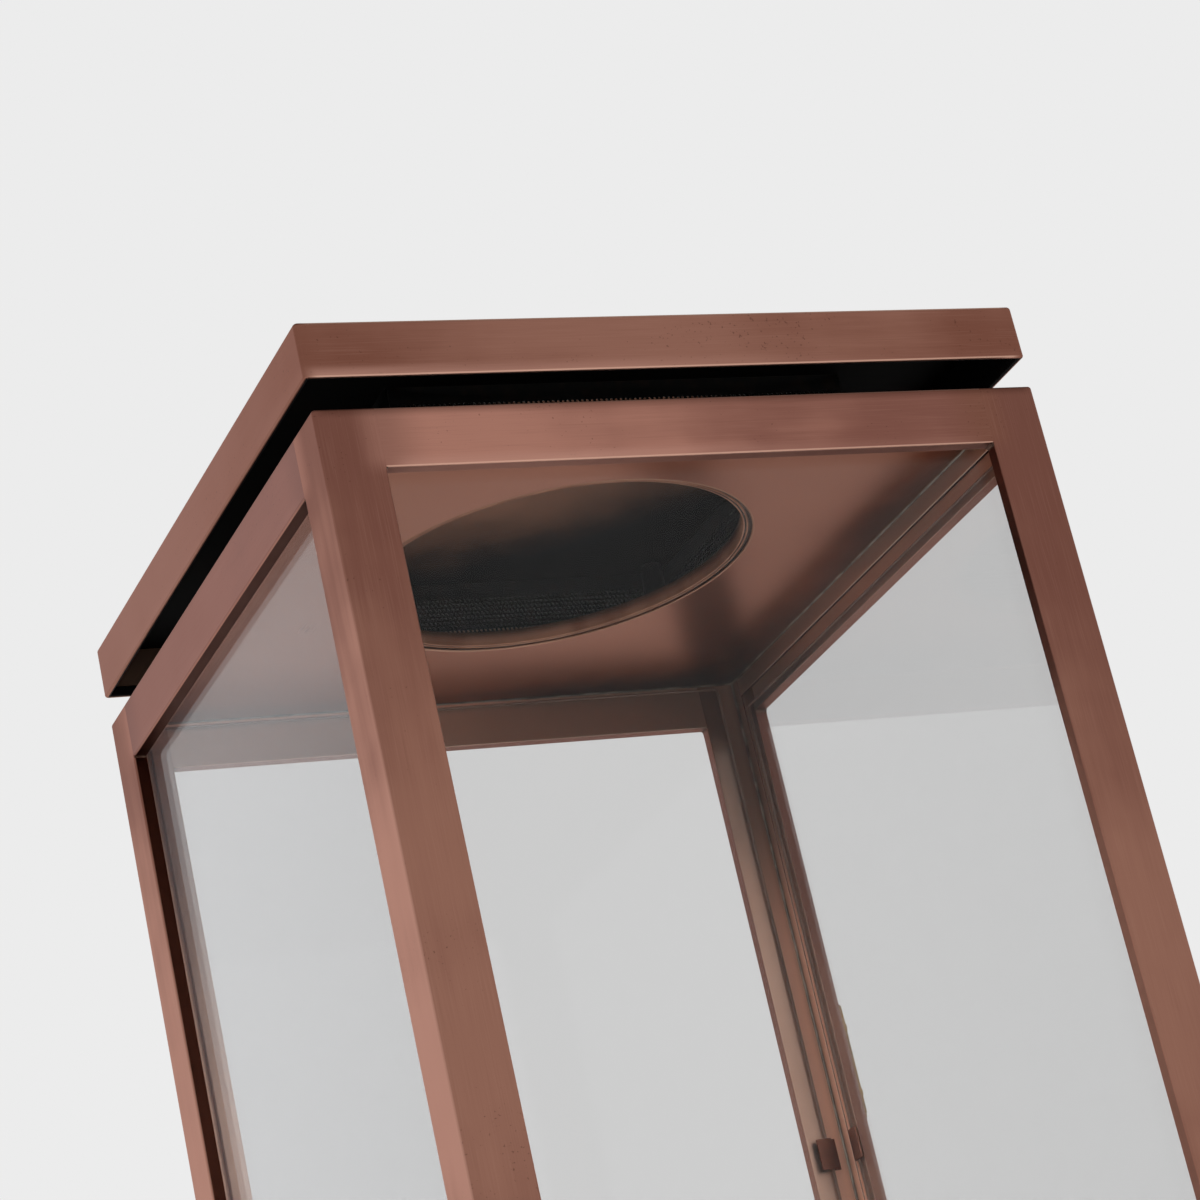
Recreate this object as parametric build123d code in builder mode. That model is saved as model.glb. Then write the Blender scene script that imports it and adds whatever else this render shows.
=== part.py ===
from build123d import *
import os

os.makedirs("parts", exist_ok=True)

# Square copper gas lantern on a post. Millimetres, +Z up, origin on the ground under the post.
# The front faces -Y. The glazed door is on the +X side and hangs on its rear edge.

# Lantern
lantern_width = 305.0
frame_height = 508.0
vent_gap = 12.7
lid_height = 23.0
lid_overhang = 0.5
member_width = 24.4
member_depth = 6.0
section_wall = 1.2
sheet = 1.2
edge_radius = 1.5
opening_radius = 0.8
post_cap = 6.0
hem_height = 5.0
hem_thickness = 2.4
lid_corner_radius = 2.0

# Floor and ceiling
floor_thickness = 2.0
upstand_height = 11.0
air_hole_radius = 6.0
air_hole_circle = 110.0
air_hole_count = 8
ceiling_drop = 3.2

# Flue and vent screens
flue_radius = 81.7
flue_hole_radius = 85.8
flue_lip_height = 6.0
flue_sheet = 0.8
flue_flange = 5.0
bead_radius = 0.75
bead_offset = 1.6
vent_margin = 16.3
screen_sheet = 0.8
screen_hole_radius = 1.8
screen_pitch = 6.0
screen_rows = 5
screen_first_row = 5.0
pillar_radius = 5.0
pillar_inset = 2.5
lid_screw_radius = 2.5
lid_screw_depth = 12.0
lid_screw_head_radius = 4.6
lid_screw_head = 2.6

# Glass and its clips
pane_thickness = 3.0
pane_corner_clear = 9.0
pane_top_drop = 6.0
pane_foot = 14.0
clip_sheet = 0.8
clip_foot = 4.0
clip_reach = 6.0
clip_height = 14.0
clip_low_level = 70.0
clip_high_level = 270.0

# Door, hinges and latch
door_gap = 0.8
door_pane_lap = 4.0
hinge_foot_offset = 70.0
hinge_head_offset = 180.0
hinge_height = 50.0
hinge_sheet = 1.6
knuckle_radius = 3.0
knuckle_clear = 0.35
knuckle_gap = 0.3
hinge_pin_radius = 1.55
pin_head_radius = 2.3
pin_head = 1.6
hinge_screw_radius = 1.4
hinge_screw_spacing = 30.0
hinge_screw_head_radius = 2.4
hinge_screw_head = 1.1
latch_level = 112.0
latch_spindle_radius = 2.0
latch_rose_radius = 6.5
latch_rose = 2.2
latch_neck_radius = 3.2
latch_neck = 4.0
latch_grip_length = 24.0
latch_grip_width = 5.0
latch_grip_depth = 9.0
latch_tongue = 2.5
latch_nut_radius = 3.4
latch_nut = 2.6

# Burner and gas line
riser_radius = 7.94
riser_wall = 1.0
coupling_radius = 10.6
coupling_length = 44.0
coupling_stop = 6.0
coupling_lift = 3.0
nut_radius = 15.5
nut_height = 9.0
cock_hex_radius = 13.5
cock_foot = 14.0
cock_radius = 11.0
cock_height = 46.0
cock_axis_level = 29.0
barrel_radius = 9.0
barrel_half = 14.0
plug_radius = 5.5
plug_head_radius = 7.5
plug_head = 4.0
plug_spigot_radius = 3.5
gas_way_radius = 3.0
lever_hub_radius = 8.0
lever_hub = 5.0
lever_length = 30.0
lever_width = 7.0
lever_sheet = 3.2
valve_radius = 9.5
valve_height = 24.0
valve_boss_radius = 6.0
valve_boss_length = 18.0
stem_radius = 2.5
stem_length = 14.0
knob_radius = 9.0
knob_length = 9.0
knob_notches = 20
knob_notch_radius = 0.8
burner_tube_radius = 4.76
burner_tube_wall = 0.8
burner_tube_length = 72.0
tube_socket = 8.0
holder_radius = 8.0
holder_height = 20.0
holder_chamfer = 1.0
tip_radius = 5.0
tip_height = 26.0
tip_seat = 7.0
tip_dome = 3.5
tip_slot = 1.0
tip_slot_depth = 6.0

# Post, base and fitter
post_size = 76.2
post_wall = 3.2
post_corner_radius = 6.0
post_length = 1575.0
base_width = 254.0
base_thickness = 12.7
base_corner_radius = 12.0
base_chamfer = 2.0
base_way_radius = 25.0
anchor_spacing = 203.2
anchor_hole_radius = 7.15
fitter_width = 150.0
fitter_flange = 5.0
fitter_corner_radius = 8.0
sleeve_wall = 3.0
sleeve_length = 90.0
set_screw_level = 45.0
set_screw_radius = 4.0
set_screw_head_radius = 6.5
set_screw_head = 5.0
floor_screw_spacing = 112.0
floor_screw_radius = 3.0
floor_screw_head_radius = 5.5
floor_screw_head = 3.4

# Fits
running_clearance = 0.05
seat_clearance = 0.3
sleeve_clearance = 0.4
pipe_clearance = 1.2

# Heights worked out from the ground up
post_top = base_thickness + post_length
floor_bottom = post_top + fitter_flange
frame_bottom = floor_bottom + floor_thickness
frame_top = frame_bottom + frame_height
ceiling_bottom = frame_top - ceiling_drop
ceiling_top = ceiling_bottom + sheet
lid_bottom = frame_top + vent_gap
lid_top = lid_bottom + lid_height
lid_underside = lid_top - sheet

# Plan sizes worked out from the lantern's width
half_width = lantern_width / 2
inner_half = half_width - member_depth
inner_width = 2 * inner_half
opening_width = lantern_width - 2 * member_width
lid_width = lantern_width + 2 * lid_overhang
vent_half = flue_radius + vent_margin
pillar_place = vent_half - pillar_inset - pillar_radius
pane_width = inner_width - 2 * pane_corner_clear
pane_bottom = frame_bottom + pane_foot
pane_height = frame_top - pane_top_drop - pane_bottom

# The door shares the width of a frame member with the fixed leg beside it
fixed_leg = (member_width - door_gap) / 2
door_half = half_width - fixed_leg - door_gap
door_bottom = frame_bottom + fixed_leg + door_gap
door_top = frame_top - fixed_leg - door_gap
door_height = door_top - door_bottom
door_pane_width = opening_width + 2 * door_pane_lap
door_pane_bottom = frame_bottom + member_width - door_pane_lap
door_pane_height = frame_top - member_width + door_pane_lap - door_pane_bottom
door_edge_clear = fixed_leg - door_pane_lap
hinge_x = half_width + knuckle_radius + knuckle_clear
hinge_y = half_width - fixed_leg - door_gap / 2
hinge_levels = (door_bottom + hinge_foot_offset, door_top - hinge_head_offset)
hinge_leaf_start = knuckle_radius + seat_clearance
hinge_leaf_end = fixed_leg - edge_radius
hinge_screw_place = (hinge_leaf_start + hinge_leaf_end) / 2
latch_y = door_edge_clear / 2 - door_half
latch_z = frame_bottom + latch_level

# Each wall of the lantern is the front wall turned about the lantern's axis
wall_turn = {"front": 0, "right": 90, "rear": 180, "left": 270}


def save(piece, name):
    """Label one finished piece and write its STEP file."""
    piece.part.label = name
    export_step(piece.part, f"parts/{name}.step")


def wall_plan(wall, height):
    """Level plane at a height: local X runs along the wall and local -Y points out of it."""
    return Plane((0, 0, height)).rotated((0, 0, wall_turn[wall]))


def wall_section(wall, along, height):
    """Upright plane across a wall: local X points inwards, local Y up, its normal along the wall."""
    plan = wall_plan(wall, height)
    return Plane(plan.from_local_coords((along, 0, 0)), x_dir=plan.y_dir, z_dir=plan.x_dir)


def rail(wall, length, height, bottom, top_radius):
    """Level hollow member of a wall, with its two outer edges eased."""
    middle = (member_depth / 2 - half_width, height / 2)
    with BuildPart() as piece:
        with BuildSketch(wall_section(wall, -length / 2, bottom)) as section:
            with Locations(middle):
                Rectangle(member_depth, height)
            fillet(section.vertices().group_by(Axis.X)[0].sort_by(Axis.Y)[-1], top_radius)
            fillet(section.vertices().group_by(Axis.X)[0].sort_by(Axis.Y)[0], opening_radius)
            with Locations(middle):
                Rectangle(member_depth - 2 * section_wall, height - 2 * section_wall, mode=Mode.SUBTRACT)
        extrude(amount=length)
    return piece


def corner_outline(x_side, y_side, y_leg, inset):
    """Corners of an angle section whose legs run inwards from one corner of the lantern."""
    near = inset
    deep = member_depth - inset
    x_end = member_width - inset
    y_end = y_leg - inset
    inward = [(near, near), (x_end, near), (x_end, deep), (deep, deep), (deep, y_end), (near, y_end)]
    return [(x_side * (half_width - u), y_side * (half_width - v)) for u, v in inward]


def corner_post(x_side, y_side, y_leg):
    """Hollow angle post, open below and capped on top, with its outer corner and top edges rounded."""
    with BuildPart() as piece:
        with BuildSketch(Plane.XY.offset(frame_bottom)) as section:
            with BuildLine():
                Polyline(*corner_outline(x_side, y_side, y_leg, 0), close=True)
            make_face()
            fillet(section.vertices().sort_by_distance((0, 0))[-1], edge_radius)
        extrude(amount=frame_height)
        top_edges = piece.faces().sort_by(Axis.Z)[-1].edges()
        reach = half_width - edge_radius
        outer_edges = top_edges.filter_by(lambda e: max(abs(e.center().X), abs(e.center().Y)) > reach)
        fillet(outer_edges, opening_radius)
        with BuildSketch(Plane.XY.offset(frame_bottom)):
            with BuildLine():
                Polyline(*corner_outline(x_side, y_side, y_leg, section_wall), close=True)
            make_face()
        extrude(amount=frame_height - post_cap, mode=Mode.SUBTRACT)
    return piece


def hinge_screw_spots(side):
    """Points on the +X face where the hinge screws go in: side 1 on the frame, -1 on the door."""
    y = hinge_y + side * hinge_screw_place
    rises = (-hinge_screw_spacing / 2, hinge_screw_spacing / 2)
    return [(half_width, y, level + rise) for level in hinge_levels for rise in rises]


def glass_pane(wall, width, bottom, height):
    """Clear sheet of glass that lies against the inside of a wall's members."""
    with BuildPart() as piece:
        with BuildSketch(wall_plan(wall, bottom)):
            with Locations((0, pane_thickness / 2 - inner_half)):
                Rectangle(width, pane_thickness)
        extrude(amount=height)
    return piece


def glass_clips(wall, width):
    """Bent strips that hold a pane: foot on the member, web past the pane's edge, arm over the glass."""
    edge = width / 2 + seat_clearance
    foot_end = edge + clip_foot
    arm_end = width / 2 - clip_reach
    face = -inner_half
    glass = face + pane_thickness
    outline = [
        (edge, face),
        (foot_end, face),
        (foot_end, face + clip_sheet),
        (edge + clip_sheet, face + clip_sheet),
        (edge + clip_sheet, glass + clip_sheet),
        (arm_end, glass + clip_sheet),
        (arm_end, glass),
        (edge, glass),
    ]
    with BuildPart() as piece:
        for level in (clip_low_level, clip_high_level):
            with BuildSketch(wall_plan(wall, frame_bottom + level)) as strips:
                with BuildLine():
                    Polyline(*outline, close=True)
                make_face()
                mirror(strips.sketch_local, about=Plane.YZ)
            extrude(amount=clip_height)
    return piece


def vent_screen(wall, width):
    """Perforated strip that stands between the ceiling and the lid, with a plain band above."""
    height = lid_underside - ceiling_top
    columns = int((width - 2 * screen_pitch) / screen_pitch)
    rows_middle = screen_first_row + (screen_rows - 1) * screen_pitch / 2
    with BuildPart() as piece:
        plane = wall_section(wall, 0, ceiling_top)
        face = Plane(plane.origin - plane.x_dir * vent_half, x_dir=plane.z_dir, z_dir=-plane.x_dir)
        with BuildSketch(face):
            with Locations((0, height / 2)):
                Rectangle(width, height)
            with Locations((0, rows_middle)):
                with GridLocations(screen_pitch, screen_pitch, columns, screen_rows):
                    Circle(screen_hole_radius, mode=Mode.SUBTRACT)
        extrude(amount=screen_sheet)
    return piece


# Base plate with its anchor holes and the way for the gas line
with BuildPart() as base_plate:
    with BuildSketch(Plane.XY):
        RectangleRounded(base_width, base_width, base_corner_radius)
        Circle(base_way_radius, mode=Mode.SUBTRACT)
        with GridLocations(anchor_spacing, anchor_spacing, 2, 2):
            Circle(anchor_hole_radius, mode=Mode.SUBTRACT)
    extrude(amount=base_thickness)
    rim = base_plate.faces().sort_by(Axis.Z)[-1].outer_wire().edges()
    chamfer(rim, base_chamfer)
save(base_plate, "base_plate")

# Square post
with BuildPart() as post_tube:
    with BuildSketch(Plane.XY.offset(base_thickness)):
        RectangleRounded(post_size, post_size, post_corner_radius)
        bore = post_size - 2 * post_wall
        RectangleRounded(bore, bore, post_corner_radius - post_wall, mode=Mode.SUBTRACT)
    extrude(amount=post_length)
save(post_tube, "post_tube")

# Fitter: a sleeve over the post's top under the flange that carries the lantern
sleeve_inner = post_size + 2 * sleeve_clearance
sleeve_outer = sleeve_inner + 2 * sleeve_wall
sleeve_bottom = post_top - sleeve_length
set_screw_z = post_top - set_screw_level
with BuildPart() as post_fitter:
    with BuildSketch(Plane.XY.offset(sleeve_bottom)):
        corner = post_corner_radius + sleeve_clearance
        RectangleRounded(sleeve_outer, sleeve_outer, corner + sleeve_wall)
        RectangleRounded(sleeve_inner, sleeve_inner, corner, mode=Mode.SUBTRACT)
    extrude(amount=sleeve_length)
    with BuildSketch(Plane.XY.offset(post_top)):
        RectangleRounded(fitter_width, fitter_width, fitter_corner_radius)
        Circle(riser_radius + pipe_clearance, mode=Mode.SUBTRACT)
        with GridLocations(floor_screw_spacing, floor_screw_spacing, 2, 2):
            Circle(floor_screw_radius + running_clearance, mode=Mode.SUBTRACT)
    extrude(amount=fitter_flange)
    for turned in ((0, 90, 0), (90, 0, 0)):
        with Locations(Location((0, 0, set_screw_z), turned)):
            Cylinder(set_screw_radius + running_clearance, 2 * sleeve_outer, mode=Mode.SUBTRACT)
save(post_fitter, "post_fitter")

# Set screws that clamp the fitter to the post, one on each side
with BuildPart() as fitter_set_screws:
    for wall in wall_turn:
        face = wall_section(wall, 0, set_screw_z)
        screw_plane = Plane(face.origin, x_dir=face.z_dir, z_dir=-face.x_dir)
        with BuildSketch(screw_plane.offset(post_size / 2)):
            Circle(set_screw_radius)
        extrude(amount=sleeve_clearance + sleeve_wall)
        with BuildSketch(screw_plane.offset(sleeve_outer / 2)):
            RegularPolygon(set_screw_head_radius, 6)
        extrude(amount=set_screw_head)
save(fitter_set_screws, "fitter_set_screws")

# Lantern floor: a plate under the whole frame with an upstand inside it and air holes
with BuildPart() as floor_plate:
    with BuildSketch(Plane.XY.offset(floor_bottom)):
        RectangleRounded(lantern_width, lantern_width, edge_radius)
        Circle(riser_radius + pipe_clearance, mode=Mode.SUBTRACT)
        with GridLocations(floor_screw_spacing, floor_screw_spacing, 2, 2):
            Circle(floor_screw_radius + running_clearance, mode=Mode.SUBTRACT)
        with PolarLocations(air_hole_circle, air_hole_count, start_angle=180 / air_hole_count):
            Circle(air_hole_radius, mode=Mode.SUBTRACT)
    extrude(amount=floor_thickness)
    with BuildSketch(Plane.XY.offset(frame_bottom)):
        Rectangle(inner_width, inner_width)
        Rectangle(inner_width - 2 * sheet, inner_width - 2 * sheet, mode=Mode.SUBTRACT)
    extrude(amount=upstand_height)
save(floor_plate, "floor_plate")

# Screws that hold the lantern floor to the fitter
with BuildPart() as floor_screws:
    with BuildSketch(Plane.XY.offset(post_top)):
        with GridLocations(floor_screw_spacing, floor_screw_spacing, 2, 2):
            Circle(floor_screw_radius)
    extrude(amount=fitter_flange + floor_thickness)
    with BuildSketch(Plane.XY.offset(frame_bottom)):
        with GridLocations(floor_screw_spacing, floor_screw_spacing, 2, 2):
            Circle(floor_screw_head_radius)
    extrude(amount=floor_screw_head)
save(floor_screws, "floor_screws")

# Corner posts of the frame: those beside the door have a short leg on its side
save(corner_post(-1, -1, member_width), "corner_post_front_left")
save(corner_post(-1, 1, member_width), "corner_post_rear_left")
save(corner_post(1, -1, fixed_leg), "corner_post_front_right")

rear_right = corner_post(1, 1, fixed_leg)
with BuildPart() as corner_post_rear_right:
    add(rear_right.part)
    with Locations(*[Location(spot, (0, 90, 0)) for spot in hinge_screw_spots(1)]):
        Cylinder(hinge_screw_radius + running_clearance, 2 * section_wall, mode=Mode.SUBTRACT)
save(corner_post_rear_right, "corner_post_rear_right")

# Top and bottom rails between the posts, with narrow ones over and under the door
for wall in ("front", "left", "rear"):
    save(rail(wall, opening_width, member_width, frame_top - member_width, edge_radius), f"top_rail_{wall}")
    save(rail(wall, opening_width, member_width, frame_bottom, opening_radius), f"bottom_rail_{wall}")
door_side_length = 2 * (half_width - fixed_leg)
save(rail("right", door_side_length, fixed_leg, frame_top - fixed_leg, edge_radius), "door_header")
save(rail("right", door_side_length, fixed_leg, frame_bottom, opening_radius), "door_sill")

# Fixed panes and the clips that hold them
for wall in ("front", "left", "rear"):
    save(glass_pane(wall, pane_width, pane_bottom, pane_height), f"glass_pane_{wall}")
    save(glass_clips(wall, pane_width), f"glass_clips_{wall}")

# Ceiling plate with the flue hole
with BuildPart() as ceiling_plate:
    with BuildSketch(Plane.XY.offset(ceiling_bottom)):
        Rectangle(inner_width, inner_width)
        Circle(flue_hole_radius, mode=Mode.SUBTRACT)
    extrude(amount=sheet)
save(ceiling_plate, "ceiling_plate")

# Flue ring: a flange that lies on the ceiling, a rolled bead within the plate's hole, and a lip turned up
with BuildPart() as flue_ring:
    lip_outer_radius = flue_radius + flue_sheet
    flange_edge = flue_hole_radius + flue_flange
    flange_top = ceiling_top + flue_sheet
    lip_top = ceiling_top + flue_lip_height
    with BuildSketch(Plane.XZ):
        with BuildLine():
            Polyline(
                (flue_radius, ceiling_top),
                (flange_edge, ceiling_top),
                (flange_edge, flange_top),
                (lip_outer_radius, flange_top),
                (lip_outer_radius, lip_top),
                (flue_radius, lip_top),
                close=True,
            )
        make_face()
        with Locations((flue_radius + bead_offset, ceiling_top)):
            Circle(bead_radius)
    revolve(axis=Axis.Z)
save(flue_ring, "flue_ring")

# Perforated screens round the flue, from the ceiling up to the lid
screen_width = 2 * vent_half
for wall in ("front", "rear"):
    save(vent_screen(wall, screen_width + 2 * screen_sheet), f"vent_screen_{wall}")
for wall in ("left", "right"):
    save(vent_screen(wall, screen_width), f"vent_screen_{wall}")

# Tapped pillars that carry the lid
pillar_spacing = 2 * pillar_place
with BuildPart() as lid_pillars:
    with BuildSketch(Plane.XY.offset(ceiling_top)):
        with GridLocations(pillar_spacing, pillar_spacing, 2, 2):
            Circle(pillar_radius)
    extrude(amount=lid_underside - ceiling_top)
    with BuildSketch(Plane.XY.offset(lid_underside)):
        with GridLocations(pillar_spacing, pillar_spacing, 2, 2):
            Circle(lid_screw_radius + running_clearance)
    extrude(amount=-lid_screw_depth, mode=Mode.SUBTRACT)
save(lid_pillars, "lid_pillars")

# Lid: a shallow pan turned upside down, with a folded hem round its lower edge
with BuildPart() as lid_pan:
    with BuildSketch(Plane.XY.offset(lid_bottom)):
        RectangleRounded(lid_width, lid_width, lid_corner_radius)
    extrude(amount=lid_height)
    fillet(lid_pan.faces().sort_by(Axis.Z)[-1].edges(), edge_radius)
    fillet(lid_pan.faces().sort_by(Axis.Z)[0].edges(), opening_radius)
    with BuildSketch(Plane.XY.offset(lid_bottom)):
        Rectangle(lid_width - 2 * hem_thickness, lid_width - 2 * hem_thickness)
    extrude(amount=hem_height, mode=Mode.SUBTRACT)
    with BuildSketch(Plane.XY.offset(lid_bottom + hem_height)):
        Rectangle(lid_width - 2 * sheet, lid_width - 2 * sheet)
    extrude(amount=lid_underside - lid_bottom - hem_height, mode=Mode.SUBTRACT)
    with BuildSketch(Plane.XY.offset(lid_underside)):
        with GridLocations(pillar_spacing, pillar_spacing, 2, 2):
            Circle(lid_screw_radius + running_clearance)
    extrude(amount=sheet, mode=Mode.SUBTRACT)
save(lid_pan, "lid_pan")

# Screws through the lid into the pillars
with BuildPart() as lid_screws:
    with BuildSketch(Plane.XY.offset(lid_underside - lid_screw_depth)):
        with GridLocations(pillar_spacing, pillar_spacing, 2, 2):
            Circle(lid_screw_radius)
    extrude(amount=lid_screw_depth + sheet)
    with BuildSketch(Plane.XY.offset(lid_top)):
        with GridLocations(pillar_spacing, pillar_spacing, 2, 2):
            Circle(lid_screw_head_radius)
    extrude(amount=lid_screw_head)
    fillet(lid_screws.faces().group_by(Axis.Z)[-1].edges(), lid_screw_head / 2)
save(lid_screws, "lid_screws")

# Gas line: a solder coupling at the foot, a riser up the post, and lock nuts at the lantern floor
cock_bottom = frame_bottom + nut_height
cock_axis = cock_bottom + cock_axis_level
cock_top = cock_bottom + cock_height
cup_radius = riser_radius + running_clearance
cup_depth = (coupling_length - coupling_stop) / 2
coupling_top = coupling_lift + coupling_length
riser_top = cock_bottom + cock_foot
with BuildPart() as gas_inlet_coupling:
    with BuildSketch(Plane.XY.offset(coupling_lift)):
        Circle(coupling_radius)
        Circle(riser_radius - riser_wall, mode=Mode.SUBTRACT)
    extrude(amount=coupling_length)
    for cup_bottom in (coupling_lift, coupling_top - cup_depth):
        with BuildSketch(Plane.XY.offset(cup_bottom)):
            Circle(cup_radius)
        extrude(amount=cup_depth, mode=Mode.SUBTRACT)
save(gas_inlet_coupling, "gas_inlet_coupling")

with BuildPart() as gas_riser_pipe:
    with BuildSketch(Plane.XY.offset(coupling_top - cup_depth)):
        Circle(riser_radius)
        Circle(riser_radius - riser_wall, mode=Mode.SUBTRACT)
    extrude(amount=riser_top - coupling_top + cup_depth)
save(gas_riser_pipe, "gas_riser_pipe")

with BuildPart() as riser_lock_nuts:
    for nut_bottom in (post_top - nut_height, frame_bottom):
        with BuildSketch(Plane.XY.offset(nut_bottom)):
            RegularPolygon(nut_radius, 6)
            Circle(cup_radius, mode=Mode.SUBTRACT)
        extrude(amount=nut_height)
save(riser_lock_nuts, "riser_lock_nuts")

# Gas cock: hexagon foot with the riser's socket, upright body and a barrel across it for the plug
with BuildPart() as gas_cock_body:
    with BuildSketch(Plane.XY.offset(cock_bottom)):
        RegularPolygon(cock_hex_radius, 6)
    extrude(amount=cock_foot)
    with BuildSketch(Plane.XY.offset(cock_bottom)):
        Circle(cock_radius)
    extrude(amount=cock_height)
    with BuildSketch(Plane.YZ.offset(-barrel_half)):
        with Locations((0, cock_axis)):
            Circle(barrel_radius)
    extrude(amount=2 * barrel_half)
    with BuildSketch(Plane.XY.offset(cock_bottom)):
        Circle(cup_radius)
    extrude(amount=cock_foot, mode=Mode.SUBTRACT)
    with BuildSketch(Plane.XY.offset(cock_bottom)):
        Circle(gas_way_radius)
    extrude(amount=cock_height, mode=Mode.SUBTRACT)
    with BuildSketch(Plane.YZ.offset(-barrel_half)):
        with Locations((0, cock_axis)):
            Circle(plug_radius + running_clearance)
    extrude(amount=2 * barrel_half, mode=Mode.SUBTRACT)
save(gas_cock_body, "gas_cock_body")

# Plug of the cock: a shaft with a gas way through it, a head at one end and a spigot for the lever
plug_end = barrel_half + seat_clearance
with BuildPart() as gas_cock_plug:
    with BuildSketch(Plane.YZ.offset(-plug_end)):
        with Locations((0, cock_axis)):
            Circle(plug_radius)
    extrude(amount=2 * plug_end)
    with BuildSketch(Plane.YZ.offset(-plug_end)):
        with Locations((0, cock_axis)):
            RegularPolygon(plug_head_radius, 6)
    extrude(amount=-plug_head)
    with BuildSketch(Plane.YZ.offset(plug_end)):
        with Locations((0, cock_axis)):
            Circle(plug_spigot_radius)
    extrude(amount=lever_hub)
    with BuildSketch(Plane.XY.offset(cock_axis - plug_radius)):
        Circle(gas_way_radius)
    extrude(amount=2 * plug_radius, mode=Mode.SUBTRACT)
save(gas_cock_plug, "gas_cock_plug")

# Lever of the cock: hangs in line with the pipe when the gas is on
with BuildPart() as gas_cock_lever:
    with BuildSketch(Plane.YZ.offset(plug_end)):
        with Locations((0, cock_axis)):
            Circle(lever_hub_radius)
    extrude(amount=lever_hub)
    with BuildSketch(Plane.YZ.offset(plug_end + lever_hub - lever_sheet)):
        with Locations((0, cock_axis - lever_length / 2)):
            Rectangle(lever_width, lever_length)
        with Locations((0, cock_axis - lever_length)):
            Circle(lever_width / 2)
    extrude(amount=lever_sheet)
    with BuildSketch(Plane.YZ.offset(plug_end)):
        with Locations((0, cock_axis)):
            Circle(plug_spigot_radius + running_clearance)
    extrude(amount=lever_hub, mode=Mode.SUBTRACT)
save(gas_cock_lever, "gas_cock_lever")

# Flame valve on top of the cock, with a boss for its screw and a socket for the burner tube
valve_top = cock_top + valve_height
stem_axis = cock_top + valve_height - tube_socket - stem_radius - knob_notch_radius - burner_tube_wall
tube_cup_radius = burner_tube_radius + running_clearance
tube_bottom = valve_top - tube_socket
with BuildPart() as flame_valve_body:
    with BuildSketch(Plane.XY.offset(cock_top)):
        Circle(valve_radius)
    extrude(amount=valve_height)
    with BuildSketch(Plane.YZ):
        with Locations((0, stem_axis)):
            Circle(valve_boss_radius)
    extrude(amount=valve_boss_length)
    with BuildSketch(Plane.XY.offset(cock_top)):
        Circle(gas_way_radius)
    extrude(amount=valve_height, mode=Mode.SUBTRACT)
    with BuildSketch(Plane.XY.offset(tube_bottom)):
        Circle(tube_cup_radius)
    extrude(amount=tube_socket, mode=Mode.SUBTRACT)
    with BuildSketch(Plane.YZ.offset(valve_boss_length)):
        with Locations((0, stem_axis)):
            Circle(stem_radius + running_clearance)
    extrude(amount=-stem_length - seat_clearance, mode=Mode.SUBTRACT)
save(flame_valve_body, "flame_valve_body")

# Flame screw with its knurled knob
with BuildPart() as flame_adjust_knob:
    knob_face = valve_boss_length + seat_clearance
    with BuildSketch(Plane.YZ.offset(knob_face)):
        with Locations((0, stem_axis)):
            Circle(knob_radius)
            with PolarLocations(knob_radius, knob_notches):
                Circle(knob_notch_radius, mode=Mode.SUBTRACT)
    extrude(amount=knob_length)
    with BuildSketch(Plane.YZ.offset(knob_face)):
        with Locations((0, stem_axis)):
            Circle(stem_radius)
    extrude(amount=-stem_length)
save(flame_adjust_knob, "flame_adjust_knob")

# Burner tube, tip holder and the ceramic tip with its flame slot
holder_bottom = tube_bottom + burner_tube_length - tube_socket
holder_top = holder_bottom + holder_height
with BuildPart() as burner_tube:
    with BuildSketch(Plane.XY.offset(tube_bottom)):
        Circle(burner_tube_radius)
        Circle(burner_tube_radius - burner_tube_wall, mode=Mode.SUBTRACT)
    extrude(amount=burner_tube_length)
save(burner_tube, "burner_tube")

with BuildPart() as burner_holder:
    with BuildSketch(Plane.XY.offset(holder_bottom)):
        Circle(holder_radius)
        Circle(gas_way_radius, mode=Mode.SUBTRACT)
    extrude(amount=holder_height)
    with BuildSketch(Plane.XY.offset(holder_bottom)):
        Circle(tube_cup_radius)
    extrude(amount=tube_socket, mode=Mode.SUBTRACT)
    with BuildSketch(Plane.XY.offset(holder_top)):
        Circle(tip_radius + running_clearance)
    extrude(amount=-tip_seat, mode=Mode.SUBTRACT)
    chamfer(burner_holder.faces().sort_by(Axis.Z)[-1].outer_wire().edges(), holder_chamfer)
save(burner_holder, "burner_holder")

with BuildPart() as burner_tip:
    tip_bottom = holder_top - tip_seat
    tip_top = tip_bottom + tip_height
    with BuildSketch(Plane.XY.offset(tip_bottom)):
        Circle(tip_radius)
    extrude(amount=tip_height)
    fillet(burner_tip.faces().sort_by(Axis.Z)[-1].edges(), tip_dome)
    with BuildSketch(Plane.XY.offset(tip_bottom)):
        Circle(tip_radius / 2)
    extrude(amount=tip_height - tip_slot_depth, mode=Mode.SUBTRACT)
    with BuildSketch(Plane.XY.offset(tip_top)):
        Rectangle(3 * tip_radius, tip_slot)
    extrude(amount=-tip_slot_depth, mode=Mode.SUBTRACT)
save(burner_tip, "burner_tip")

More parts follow.
